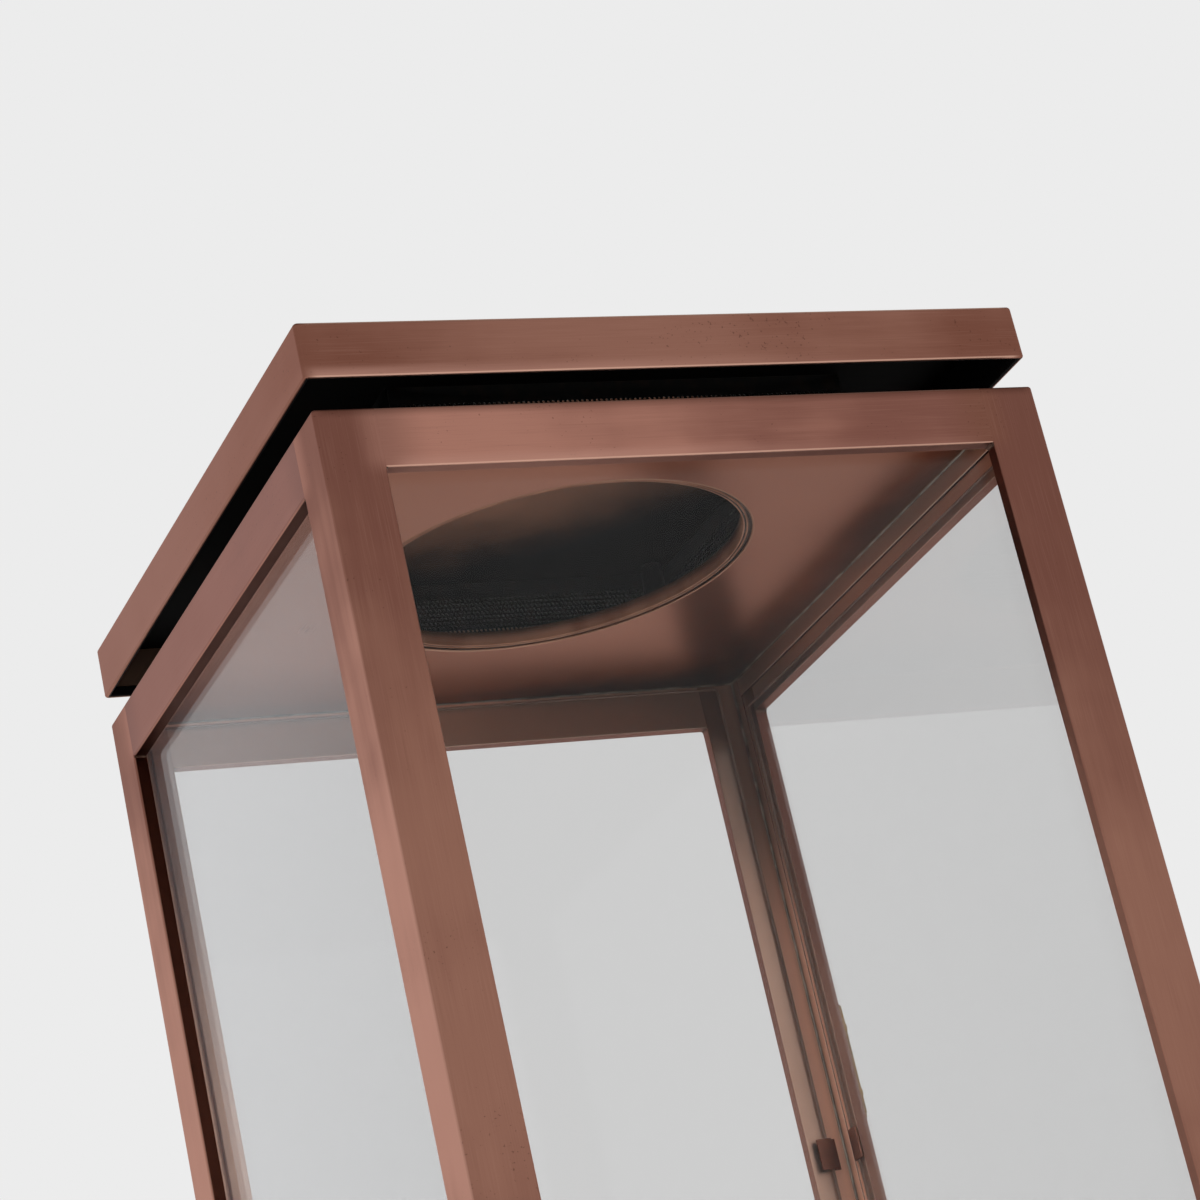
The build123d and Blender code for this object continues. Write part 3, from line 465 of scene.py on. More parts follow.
# Settings of nodes. A list fills the sockets in order: a Map Range takes a value, its range and the range of
# the result. A Mix has its share at 0 and its two colours at 6 and 7.
SMOOTH = {"interpolation_type": "SMOOTHSTEP"}
COLOUR = {"data_type": "RGBA", "out": 2}
TIMES, PLUS, LESS = {"operation": "MULTIPLY"}, {"operation": "ADD"}, {"operation": "SUBTRACT"}
TIMES_PLUS, UNSIGNED = {"operation": "MULTIPLY_ADD"}, {"operation": "ABSOLUTE"}


def linear(code):
    """An sRGB hex value as linear red, green, blue and full alpha."""
    parts = np.array([int(code[i:i + 2], 16) for i in (1, 3, 5)]) / 255
    parts = np.where(parts <= 0.04045, parts / 12.92, ((parts + 0.055) / 1.055) ** 2.4)
    return (*parts.tolist(), 1.0)


def node(tree, kind, inputs, out=0, **settings):
    """Adds one node with its settings, fills or links its inputs, and gives back one of its outputs."""
    made = tree.nodes.new("ShaderNode" + kind)
    for name, value in settings.items():
        setattr(made, name, value)
    for name, value in inputs.items() if isinstance(inputs, dict) else enumerate(inputs):
        if isinstance(value, bpy.types.NodeSocket):
            tree.links.new(value, made.inputs[name])
        else:
            made.inputs[name].default_value = value
    return made.outputs[out]


def finish(name, **constants):
    """A new material with the shader's constants: itself, what adds its nodes, and its Object coordinates."""
    material = bpy.data.materials.new(name)
    material.use_nodes = True
    shader = material.node_tree.nodes["Principled BSDF"]
    for key, value in constants.items():
        shader.inputs[key.replace("_", " ")].default_value = value
    add = partial(node, material.node_tree)
    return material, add, add("TexCoord", {}, "Object")


def dressed(material, relief=None, **sockets):
    """The material, once the named sockets of its shader are linked. A relief is a height, its strength and
    its depth in millimetres."""
    tree = material.node_tree
    if relief:
        height, strength, depth = relief
        bump = {"Height": height, "Strength": strength, "Distance": depth * MM}
        sockets["Normal"] = node(tree, "Bump", bump)
    for key, value in sockets.items():
        tree.links.new(value, tree.nodes["Principled BSDF"].inputs[key.replace("_", " ")])
    return material


def per_metre(*millimetres):
    """Scales per metre from feature sizes in millimetres."""
    return tuple(1000.0 / size for size in millimetres)


def mottled(add, place, size, dark, light, low=0.35, high=0.7, detail=3.0):
    """Patches of two shades with a size in millimetres: their noise, and the colour that it gives."""
    patch = add("TexNoise", {"Vector": place, "Scale": 1000 / size, "Detail": detail})
    share = add("MapRange", [patch, low, high], **SMOOTH)
    return patch, add("Mix", {0: share, 6: linear(dark), 7: linear(light)}, **COLOUR)


def lined(add, place, sizes, colour, bright):
    """Fine lines of a lathe or a die, sized in millimetres: their noise, and the colour they brighten."""
    drawn = add("Mapping", {"Vector": place, "Scale": per_metre(*sizes)})
    lines = add("TexNoise", {"Vector": drawn, "Scale": 1.0})
    share = add("MapRange", [lines, 0.5, 0.8, 0.0, 0.4], **SMOOTH)
    return lines, add("Mix", {0: share, 6: colour, 7: linear(bright)}, **COLOUR)


def wall_places(add, place):
    """Where a point lies in its wall, whichever that is: its depth from the lamp's axis, its place along the
    wall, and how far the wall is the front or the rear one."""
    x, y, z = add("SeparateXYZ", [place]).node.outputs
    across, inward = (add("Math", [axis], **UNSIGNED) for axis in (x, y))
    facing = add("Math", [inward, across], **LESS)
    return SimpleNamespace(
        x=x, y=y, z=z,
        depth=add("Math", [inward, across], operation="MAXIMUM"),
        along=add("Math", [inward, across], operation="MINIMUM"),
        front=add("MapRange", [facing, -1.0 * MM, 6.0 * MM, 0.1], **SMOOTH))


def pad_marks(add, place, grain):
    """What the abrasive pad and the weather leave: fine scratches and broad streaks along the grain, given in
    millimetres across and along it, clouds of oxide and specks."""
    drawn = []
    for width, length in ((0.5, 30.0), (6.0, 90.0)):
        scale = per_metre(*[width if across else length for across in grain])
        stretched = add("Mapping", {"Vector": place, "Scale": scale})
        drawn.append(add("TexNoise", {"Vector": stretched, "Scale": 1.0, "Detail": 3.0}))
    return SimpleNamespace(
        fine=drawn[0], streak=drawn[1],
        cloud=add("TexNoise", {"Vector": place, "Scale": 1000 / 65.0, "Detail": 3.0}),
        speck=add("TexNoise", {"Vector": place, "Scale": 1000 / 1.2, "Detail": 1.0}))


def wear_and_highlight_share(add, place, at, marks, middle, reach, joint):
    """Share of wear and painted broad highlight: 1 in the middle of a member, 0 at its ends, broken up by the
    clouds and the streaks.
    """
    away = add("VectorMath", [place, middle], **LESS)
    away = add("VectorMath", [away], **UNSIGNED)
    away = add("VectorMath", [away, [1 / r for r in reach]], **TIMES)
    shares = add("SeparateXYZ", [away]).node.outputs
    nearest = add("Math", [shares[0], shares[1]], operation="MINIMUM")
    nearest = add("Math", [nearest, shares[2]], operation="MINIMUM")
    shifts = [
        add("MapRange", [marks.cloud, 0.3, 0.7, 0.28, -0.28]),
        add("MapRange", [marks.streak, 0.3, 0.7, 0.08, -0.08]),
    ]
    # Painted shade: uprights darker towards the right
    if joint == "sides":
        shifts.append(add("MapRange", [at.x, 0.0, HALF, 0.0, 0.3]))
    for shift in shifts:
        nearest = add("Math", [nearest, shift], **PLUS)
    return add("MapRange", [nearest, 1.05, 0.1], **SMOOTH)


def joint_dressing(add, at, joint):
    """Share and shade of the copper dressed over the joint of a post and a rail, with painted shade that
    makes it darker to the right.
    """
    if joint == "ends":
        share = add("MapRange", [at.along, OPENING_HALF - 22.0 * MM, OPENING_HALF], **SMOOTH)
    else:
        opening = (FRAME_TOP - FRAME_BOTTOM) / 2 - MEMBER
        level = add("Math", [at.z, (FRAME_BOTTOM + FRAME_TOP) / 2], **LESS)
        level = add("Math", [level], **UNSIGNED)
        beside_rail = add("MapRange", [level, opening - 5.0 * MM, opening + 5.0 * MM], **SMOOTH)
        share = add("MapRange", [at.along, OPENING_HALF + 12.0 * MM, OPENING_HALF], **SMOOTH)
        share = add("Math", [share, beside_rail], **TIMES)
    # Painted shade: the dressed copper darker towards the right
    to_right = add("MapRange", [at.x, -0.1, 0.1], **SMOOTH)
    return share, add("Mix", {0: to_right, 6: linear("#9E6F61"), 7: linear("#855849")}, **COLOUR)


def edge_highlights(add, at, marks, rim, hem, joint):
    """Shares of two painted highlights on the front edges: the band along the hem, stronger to the left, and
    the round just inside the rim, where the copper is also smoother."""
    from_hem = add("Math", [at.z, hem], **LESS)
    from_hem = add("Math", [from_hem], **UNSIGNED)
    hem_highlight = add("MapRange", [from_hem, 6.0 * MM, 0.0, 0.0, 0.55], **SMOOTH)
    to_left = add("MapRange", [at.x, 0.1, -0.09, 0.15], **SMOOTH)
    uneven = add("MapRange", [marks.streak, 0.3, 0.7, 0.5, 1.1])
    factors = [to_left, at.front, uneven]
    if joint:
        factors.append(add("MapRange", [at.along, OPENING_HALF, OPENING_HALF - 12.0 * MM], **SMOOTH))
    for factor in factors:
        hem_highlight = add("Math", [hem_highlight, factor], **TIMES)
    polished_and_lit = add("MapRange", [at.depth, rim - 0.95 * MM, rim - 0.5 * MM], **SMOOTH)
    before_face = add("MapRange", [at.depth, rim - 0.03 * MM, rim - 0.14 * MM], **SMOOTH)
    off_corner = add("MapRange", [at.along, rim - 0.5 * MM, rim - 6.0 * MM], **SMOOTH)
    for factor in (before_face, at.front, off_corner):
        polished_and_lit = add("Math", [polished_and_lit, factor], **TIMES)
    return hem_highlight, polished_and_lit


def frame_oxide_and_shade(add, at):
    """Layers of dark oxide on the returns of the openings, least in the sheltered rear right corner, and of
    painted shadow on the fronts under the lid."""
    oxide = add("MapRange", [at.depth, INNER + 0.1 * MM, INNER + 0.5 * MM], **SMOOTH)
    behind_face = add("MapRange", [at.depth, HALF - 0.5 * MM, HALF - 1.0 * MM], **SMOOTH)
    by_wall = add("MapRange", [at.x, -OPENING_HALF, -INNER, 0.45, 0.95], **SMOOTH)
    rear_right = add("Math", [at.x, at.y], **PLUS)
    sheltered = add("MapRange", [rear_right, 0.2, 0.27, 1.0, 0.35], **SMOOTH)
    for factor in (behind_face, by_wall, sheltered):
        oxide = add("Math", [oxide, factor], **TIMES)
    # Painted shadow: the fronts darker just under the lid
    shade_under_lid = add("MapRange", [at.z, FRAME_TOP - 4.5 * MM, FRAME_TOP - 0.5 * MM, 0.0, 0.5], **SMOOTH)
    shade_under_lid = add("Math", [shade_under_lid, at.front], **TIMES)
    return [(oxide, "#36180F"), (shade_under_lid, "#44261C")]


def bare_corner_light_and_shade(add, at, within):
    """Share of the strip in an inside corner that no pane covers, and its layers: painted light that makes
    the bare copper pale, palest low down, and painted shade in a dark line beside the seam."""
    bare = add("MapRange", [at.along, PANE_HALF - 0.4 * MM, PANE_HALF + 0.4 * MM], **SMOOTH)
    bare = add("Math", [bare, within], **TIMES)
    # Painted light on the bare strip, less near the top; painted shade beside the seam
    low_down = add("MapRange", [at.z, FRAME_TOP - 0.03, FRAME_TOP - 0.14], **SMOOTH)
    pale = add("Math", [bare, low_down], **TIMES)
    shade_by_seam = add("MapRange", [at.along, INNER - 4.0 * MM, INNER - 0.5 * MM, 0.0, 0.4], **SMOOTH)
    shade_by_seam = add("Math", [shade_by_seam, within], **TIMES)
    return bare, [(pale, "#FFD4BC"), (shade_by_seam, "#554B43")]


def heat_stain(add, at, marks, within, stain):
    """Layers of the stain that spreads from the rear right corner, most under the top: scorched brown at its
    border, then blue-black."""
    to_right = add("MapRange", [at.x, 0.118, INNER, 0.0, 0.8])
    to_rear = add("MapRange", [at.y, 0.1, INNER, 0.0, 0.9])
    right_half = add("MapRange", [at.x, -0.05, 0.09], **SMOOTH)
    to_rear = add("Math", [to_rear, right_half], **TIMES)
    spread = add("Math", [to_right, to_rear], operation="MAXIMUM")
    ragged = add("MapRange", [marks.cloud, 0.3, 0.7, -0.2, 0.16])
    spread = add("Math", [spread, ragged], **PLUS)
    near_top = add("MapRange", [at.z, FRAME_TOP - 0.16, FRAME_TOP - 0.03, 0.12], **SMOOTH)
    spread = add("Math", [spread, near_top], **TIMES)
    layers = []
    for low, high, most, shade in ((0.02, 0.4, 0.6 * stain, "#7A4329"), (0.2, 0.85, stain, "#262423")):
        share = add("MapRange", [spread, low, high, 0.0, most], **SMOOTH)
        layers.append((add("Math", [share, within], **TIMES), shade))
    return layers


def brushed_copper(name, grain, dark, light, rough, middle, reach, rim=0.0, hem=FAR, joint="", stain=0.0,
                   inside="", soot_and_shade_above=0.0, left_lighting_tone="#70504F", left_lighting_share=0.0, scratch=1.0):
    """Copper sheet darkened with a sulphur wash and brushed back with an abrasive pad. That leaves long fine
    scratches along the grain, drawn 0.5 mm wide so that they show, streaks where the pad pressed harder,
    cloudy patches of oxide and clusters of small black pits. A member is lighter near its middle, given on
    each axis with its reach: wear, and a painted broad highlight. The fronts get painted highlights along
    their edges. The joint of a post and a rail is dressed over, with painted shade that makes it darker to
    the right. Where a share is given, the left faces get painted light on the uprights and painted shade on
    the rails and lid. Inside the lantern the copper is painted brighter, which is painted light, and carries
    a stain. What lies over the ceiling is nearly black: soot and painted shade of the vent gap."""
    material, add, place = finish(name, Metallic=1.0, Specular_Tint=(0.95, 0.78, 0.74, 1.0))
    at = wall_places(add, place)
    marks = pad_marks(add, place, grain)
    worn_and_lit = wear_and_highlight_share(add, place, at, marks, middle, reach, joint)
    # Lighter in the middle of a member: wear, and a painted broad highlight
    colour = add("Mix", {0: worn_and_lit, 6: linear(dark), 7: linear(light)}, **COLOUR)
    if joint:
        share, shade = joint_dressing(add, at, joint)
        colour = add("Mix", {0: share, 6: colour, 7: shade}, **COLOUR)
    scratched = add("MapRange", [marks.fine, 0.52, 0.78, 0.0, 0.13 * scratch])
    grimed = add("MapRange", [marks.fine, 0.46, 0.24, 0.0, 0.15 * scratch])
    clustered = add("MapRange", [marks.cloud, 0.35, 0.65, 0.07, -0.09])
    clustered = add("Math", [clustered, marks.speck], **PLUS)
    pits = add("MapRange", [clustered, 0.72, 0.80, 0.0, 0.45], **SMOOTH)
    layers = [(scratched, "#C99A88"), (grimed, "#5E392D"), (pits, "#4A2C23")]
    # Painted light and shade on the left faces: lighter on the uprights, darker on the rails and lid
    if left_lighting_share:
        side = rim or HALF
        left = add("MapRange", [at.x, 0.6 * MM - side, 0.1 * MM - side, 0.0, left_lighting_share], **SMOOTH)
        if joint != "ends":
            left = add("Math", [left, worn_and_lit], **TIMES)
        layers.append((left, left_lighting_tone))
    smoothed = 0.0
    if rim:
        hem_highlight, polished_and_lit = edge_highlights(add, at, marks, rim, hem, joint)
        # Painted highlights along the hem and on the round of the rim; the round is also made smoother
        layers += [(hem_highlight, "#D3A190"), (add("Math", [polished_and_lit, 0.6], **TIMES), "#E6B8A2")]
        smoothed = add("Math", [polished_and_lit, -0.12], **TIMES)
    if joint:
        layers += frame_oxide_and_shade(add, at)
    hazed = {}
    if stain:
        # Painted light: the copper inside the frame painted brighter
        within = add("MapRange", [at.depth, INNER + 0.3 * MM, INNER + 0.05 * MM], **SMOOTH)
        layers.append((add("Math", [within, 0.85], **TIMES), inside))
        if joint == "sides":
            bare, corner_light_and_shade = bare_corner_light_and_shade(add, at, within)
            layers += corner_light_and_shade
            hazed["Metallic"] = add("Math", [bare, -0.55, 1.0], **TIMES_PLUS)
        layers += heat_stain(add, at, marks, within, stain)
    # Soot and painted shade: nearly black over the ceiling, in the vent gap
    if soot_and_shade_above:
        above = add("MapRange", [at.z, CEILING_LOW.z + 0.7 * MM, CEILING_LOW.z + 0.9 * MM, 0.0, soot_and_shade_above])
        layers.append((above, "#0B0908"))
    for share, shade in layers:
        colour = add("Mix", {0: share, 6: colour, 7: linear(shade)}, **COLOUR)

    mottle = add("Math", [marks.fine, scratch, marks.cloud], **TIMES_PLUS)
    even = 0.5 + 0.5 * scratch
    dulled = add("MapRange", [mottle, even - 0.4, even + 0.4, rough - 0.05, rough + 0.06])
    dulled = add("Math", [dulled, smoothed], **PLUS)
    height = add("Math", [marks.fine, 0.014 * scratch], **TIMES)
    for mark, rise in ((marks.cloud, 1.2), (pits, -0.15)):
        height = add("Math", [mark, rise, height], **TIMES_PLUS)
    return dressed(material, (height, 0.5, 0.35), Base_Color=colour, Roughness=dulled, **hazed)


def soot_and_shade_copper():
    """Inside of the lid: nearly black and velvety, soot and painted shade of the vent gap. Over the flue the
    front half is a brown patch of painted light, and the rear skirt keeps a dull brown that shows through the
    screen's holes."""
    material, add, place = finish("sooted_and_shaded_copper", Roughness=0.8, Specular_IOR_Level=0.2)
    x, y = add("SeparateXYZ", [place]).node.outputs[:2]
    patch, colour = mottled(add, place, 40.0, "#090706", "#150D0A", 0.5, 0.8)
    across = add("Math", [x, 0.6, y], **TIMES_PLUS)
    ragged = add("MapRange", [patch, 0.3, 0.7, -0.012, 0.012])
    across = add("Math", [across, ragged], **PLUS)
    browned = add("MapRange", [across, 0.085, -0.03], **SMOOTH)
    over_flue = add("VectorMath", [place, (0.0, 0.0, LID_HIGH.z)], "Value", operation="DISTANCE")
    over_flue = add("MapRange", [over_flue, 0.1, 0.085], **SMOOTH)
    browned = add("Math", [browned, over_flue], **TIMES)
    skirt = add("MapRange", [y, LID_HIGH.y - 2.0 * MM, LID_HIGH.y - 1.4 * MM])
    # Painted light: the brown patch over the flue
    for share, shade in ((browned, "#AD7A60"), (skirt, "#8A6A58")):
        colour = add("Mix", {0: share, 6: colour, 7: linear(shade)}, **COLOUR)
    return dressed(material, (patch, 0.3, 0.5), Base_Color=colour)


def float_glass(name, tint, bend=1.17):
    """Clear float glass: smooth, with the faintest waviness. It bends light less than real glass, so that its
    reflection is weak and the inside shows. A film of fine dust veils it where it is seen at a slant."""
    material, add, place = finish(
        name, Base_Color=linear(tint), Transmission_Weight=1.0, Roughness=0.0, IOR=bend, Sheen_Weight=0.72,
        Sheen_Roughness=0.3, Sheen_Tint=linear("#E2E8F2"))
    long = add("Mapping", {"Vector": place, "Scale": per_metre(90.0, 90.0, 140.0)})
    wave = add("TexNoise", {"Vector": long, "Scale": 1.0, "Detail": 1.0})
    return dressed(material, (wave, 0.03, 0.1))


def foiled_edge():
    """Edges of the panes: ground on a stone and wrapped in thin copper foil, rubbed down and dulled."""
    material, add, place = finish("copper_foil_edge", Metallic=0.3, Roughness=0.55)
    return dressed(material, Base_Color=mottled(add, place, 30.0, "#A38474", "#BC9A88", 0.3, 0.7, 2.0)[1])


def soft_solder(name, dark, light, lump):
    """Tin solder run into the joints: dull, with lumps of the given length in millimetres, browned with the
    copper outside, greyer and smoother inside."""
    material, add, place = finish(name, Metallic=1.0)
    lumps, colour = mottled(add, place, lump, dark, light)
    dulled = add("MapRange", [lumps, 0.3, 0.7, 0.34, 0.6])
    return dressed(material, (lumps, 0.4, 0.2), Base_Color=colour, Roughness=dulled)


def flue_copper():
    """Spun copper of the flue ring, browned by the hot gas until it is nearly matt, its pale base painted
    light. Painted shade lies in the channel beside the ceiling and in a line between the two beads, and
    deepens up the wall, while the beads keep the pale base."""
    material, add, place = finish("heat_browned_copper", Metallic=0.45, Roughness=0.5)
    wall = RING_HIGH.x - FLUE_FLANGE
    flat = add("VectorMath", [place, (1.0, 1.0, 0.0)], **TIMES)
    radius = add("VectorMath", [flat], "Value", operation="LENGTH")
    height = add("SeparateXYZ", [place], 2)
    cloud, colour = mottled(add, place, 18.0, "#AE775B", "#CF9778", 0.35, 0.65)
    # Painted shade: darker up the wall, beside the ceiling and in a line between the beads
    shade_up_wall = add("MapRange", [height, RING_LOW.z + 2.0 * MM, RING_HIGH.z, 0.0, 0.9], **SMOOTH)
    groove_shade = add("MapRange", [radius, wall + 2.1 * MM, wall + 2.5 * MM, 0.0, 0.9], **SMOOTH)
    from_line = add("Math", [radius, wall + 1.05 * MM], **LESS)
    from_line = add("Math", [from_line], **UNSIGNED)
    line = add("MapRange", [from_line, 0.5 * MM, 0.25 * MM, 0.0, 0.95], **SMOOTH)
    for share, shade in ((shade_up_wall, "#3A261B"), (groove_shade, "#2C1F1B"), (line, "#2C1F1B")):
        colour = add("Mix", {0: share, 6: colour, 7: linear(shade)}, **COLOUR)
    return dressed(material, (cloud, 0.2, 0.2), Base_Color=colour)


def black_steel():
    """Perforated steel with a matt heat-proof black coat, soot-dark, and dark also as painted shade of the
    vent gap, with a little rust-brown bloom.
    """
    material, add, place = finish("blackened_perforated_steel", Roughness=0.75, Specular_IOR_Level=0.3)
    colour = mottled(add, place, 7.0, "#121110", "#241A15", 0.45, 0.75, 4.0)[1]
    grit = add("TexNoise", {"Vector": place, "Scale": 1000 / 0.5})
    return dressed(material, (grit, 0.4, 0.1), Base_Color=colour)


def sheared_steel():
    """Edges of the punched holes: bare steel from the press, grey and dull."""
    material, add, place = finish("sheared_steel", Metallic=0.6, Roughness=0.5)
    return dressed(material, Base_Color=mottled(add, place, 5.0, "#3A3937", "#5C5A56")[1])


def dull_brass():
    """Turned brass gone dull outdoors: brown oxide in patches, paler where hands rub it, with lathe lines."""
    material, add, place = finish("turned_brass", Metallic=1.0)
    patch, colour = mottled(add, place, 11.0, "#775A32", "#A98449", 0.25, 0.7, 2.0)
    lathe, colour = lined(add, place, (0.6, 6.0, 0.6), colour, "#C9A867")
    dulled = add("MapRange", [patch, 0.3, 0.7, 0.48, 0.30])
    return dressed(material, (lathe, 0.25, 0.08), Base_Color=colour, Roughness=dulled)


def drawn_copper():
    """Drawn copper tube: brown-red, smooth, with fine die lines along its length and darker thumb marks."""
    material, add, place = finish("drawn_copper_tube", Metallic=1.0)
    thumbed, colour = mottled(add, place, 14.0, "#824A36", "#B8714F", 0.25)
    lines, colour = lined(add, place, (0.5, 0.5, 60.0), colour, "#D08E69")
    dulled = add("MapRange", [thumbed, 0.3, 0.7, 0.42, 0.26])
    return dressed(material, (lines, 0.25, 0.06), Base_Color=colour, Roughness=dulled)


def steatite():
    """Unglazed steatite, pressed and fired: off-white, matt and fine-grained, with soot near the slot."""
    material, add, place = finish("fired_steatite", Roughness=0.7)
    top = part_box("burner_tip")[1].z
    grain, colour = mottled(add, place, 0.8, "#CFC7B6", "#E6E0D2")
    height = add("SeparateXYZ", [place], 2)
    near_slot = add("MapRange", [height, top - 7.0 * MM, top], **SMOOTH)
    grainy = add("MapRange", [grain, 0.2, 0.7, 0.4, 0.9])
    soot_share = add("Math", [near_slot, grainy], **TIMES)
    colour = add("Mix", {0: soot_share, 6: colour, 7: linear("#3A332D")}, **COLOUR)
    return dressed(material, (grain, 0.3, 0.1), Base_Color=colour)


def bronze_paint():
    """Dark bronze powder coat on steel: satin, with the soft dimples of baked powder, a fine metal fleck and
    a little dried splash near the ground."""
    material, add, place = finish("bronze_powder_coat", Coat_Weight=0.25, Coat_Roughness=0.3)
    dimple = add("TexNoise", {"Vector": place, "Scale": 1000 / 2.4})
    fleck = add("TexNoise", {"Vector": place, "Scale": 1000 / 0.6, "Detail": 1.0})
    long = add("Mapping", {"Vector": place, "Scale": per_metre(120.0, 120.0, 160.0)})
    dust, colour = mottled(add, long, 1000.0, "#2A211C", "#352A23", detail=4.0)
    sparkle = add("MapRange", [fleck, 0.66, 0.74, 0.0, 0.6], **SMOOTH)
    height = add("SeparateXYZ", [place], 2)
    near_ground = add("MapRange", [height, 0.16, 0.0], **SMOOTH)
    dusty = add("MapRange", [dust, 0.35, 0.75, 0.1, 0.5])
    splash = add("Math", [near_ground, dusty], **TIMES)
    for share, shade in ((sparkle, "#6A5240"), (splash, "#77695B")):
        colour = add("Mix", {0: share, 6: colour, 7: linear(shade)}, **COLOUR)
    dulled = add("MapRange", [dust, 0.3, 0.7, 0.36, 0.52])
    return dressed(material, (dimple, 0.35, 0.15), Base_Color=colour, Roughness=dulled)


def zinc_steel():
    """Zinc-plated steel screws: pale grey with a faint yellow bloom and dull spots."""
    material, add, place = finish("zinc_plated_steel", Metallic=1.0)
    bloom, colour = mottled(add, place, 4.0, "#84827C", "#B9B7AE")
    dulled = add("MapRange", [bloom, 0.3, 0.7, 0.5, 0.3])
    return dressed(material, (bloom, 0.2, 0.1), Base_Color=colour, Roughness=dulled)


def pale_floor():
    """Plain pale studio floor: matt paper, with the faintest large unevenness."""
    material, add, place = finish("pale_studio_floor", Roughness=0.85)
    return dressed(material, Base_Color=mottled(add, place, 4000.0, "#EDEDED", "#EFEFEF", 0.3, 0.7, 1.0)[1])


# Copper by the way of its grain: a scratch is narrow across it (True) and long along it
LEVEL, UPRIGHT, FLAT = (False, False, True), (True, True, False), (True, False, True)
# The middle and reach of each member place its lighter middle: wear, and a painted broad highlight
copper_level = brushed_copper(
    "brushed_copper_level", LEVEL, "#8B5C50", "#BA8473", 0.42, (-0.11, 0.0, FAR), (0.2, 0.16, 1.0), HALF,
    FRAME_TOP - MEMBER, "ends", stain=0.22, inside="#FFDFC8", left_lighting_share=0.62)
copper_upright = brushed_copper(
    "brushed_copper_upright", UPRIGHT, "#7F5347", "#A07261", 0.42, (FAR, FAR, (FRAME_BOTTOM + FRAME_TOP) / 2),
    (1.0, 1.0, 0.25), joint="sides", stain=0.4, inside="#E2B9A2", left_lighting_tone="#CB9A8A", left_lighting_share=0.6)
copper_lid = brushed_copper(
    "brushed_copper_lid", LEVEL, "#825344", "#9F7060", 0.42, (0.0, 0.08, FAR), (0.16, 0.3, 1.0), LID_HIGH.x,
    LID_LOW.z, left_lighting_share=0.28)
copper_ceiling = brushed_copper(
    "rolled_copper_ceiling", FLAT, "#6C3F2F", "#A8654B", 0.30, (0.1, FAR, FAR), (0.25, 1.0, 1.0), stain=0.9,
    inside="#A8745F", soot_and_shade_above=1.0, scratch=0.3)
copper_ring = brushed_copper(
    "spun_copper_rim", FLAT, "#A87B62", "#C89C83", 0.34, (0.0, FAR, FAR), (0.1, 1.0, 1.0))
copper_floor = brushed_copper(
    "rolled_copper_floor", FLAT, "#6E4537", "#9A6B5A", 0.42, (0.0, FAR, FAR), (0.15, 1.0, 1.0))
# The left pane and the door pane are darker-tinted copies of the clear glass: painted shade
glass = float_glass("float_glass", "#EDEDED")
darker_left_glass = float_glass("darker_left_float_glass", "#D8D8D8")
door_glass = float_glass("door_float_glass", "#E0E0E0", 1.22)
foil = foiled_edge()
# Soot and painted shade for the inside of the lid and the pillars in the vent gap
soot = soot_and_shade_copper()
solder = soft_solder("browned_tin_solder", "#4A332A", "#7D6154", 1.6)
bright_solder = soft_solder("tin_solder", "#6F665D", "#A89E92", 9.0)
sheared = sheared_steel()
mesh_black = black_steel()
brass = dull_brass()
paint = bronze_paint()

# Frame members
WALLS = {"front": 0, "right": 1, "rear": 2, "left": 3}
for side, x_side, leg in (("left", -1, MEMBER), ("right", 1, LEG)):
    for end, y_side in (("front", -1), ("rear", 1)):
        folded(f"corner_post_{end}_{side}", angle_post(x_side, y_side, leg), copper_upright)
for wall in ("front", "left", "rear"):
    turn = WALLS[wall]
    top = level_rail(turn, OPENING_HALF, FRAME_TOP - MEMBER, FRAME_TOP, OPENING_EDGE, TOP_EDGE)
    bottom = level_rail(turn, OPENING_HALF, FRAME_BOTTOM, FRAME_BOTTOM + MEMBER, INNER_EDGE, OPENING_EDGE)
    folded(f"top_rail_{wall}", top, copper_level)
    folded(f"bottom_rail_{wall}", bottom, copper_level)
header = level_rail(1, HALF - LEG, FRAME_TOP - LEG, FRAME_TOP, OPENING_EDGE, TOP_EDGE)
sill = level_rail(1, HALF - LEG, FRAME_BOTTOM, FRAME_BOTTOM + LEG, INNER_EDGE, OPENING_EDGE)
folded("door_header", header, copper_level)
folded("door_sill", sill, copper_level)

# Door members
door_rail_half = DOOR_HALF - LEG
door_top = level_rail(1, door_rail_half, DOOR_TOP - LEG, DOOR_TOP, OPENING_EDGE, OPENING_EDGE)
door_bottom = level_rail(1, door_rail_half, DOOR_BOTTOM, DOOR_BOTTOM + LEG, OPENING_EDGE, OPENING_EDGE)
folded("door_top_rail", door_top, copper_level, "door")
folded("door_bottom_rail", door_bottom, copper_level, "door")
folded("door_hinge_stile", door_stile(1), copper_upright, "door")
folded("door_latch_stile", door_stile(-1), copper_upright, "door")

# Solder in the corners of the openings
reaches = np.array([0.8, 1.4, 1.1, 1.0]) * MM
for wall, quarters in WALLS.items():
    fillets = solder_fillets(quarters, OPENING_HALF, FRAME_BOTTOM + MEMBER, FRAME_TOP - MEMBER, reaches)
    piece(f"solder_{wall}", fillets, "door" if wall == "right" else "lamp", solder, "aged_copper", crease=60)

# Lid, flue ring and vent screens
lid = piece("hemmed_lid", lid_shape(), "lamp", copper_lid, "aged_copper", "lid_pan")
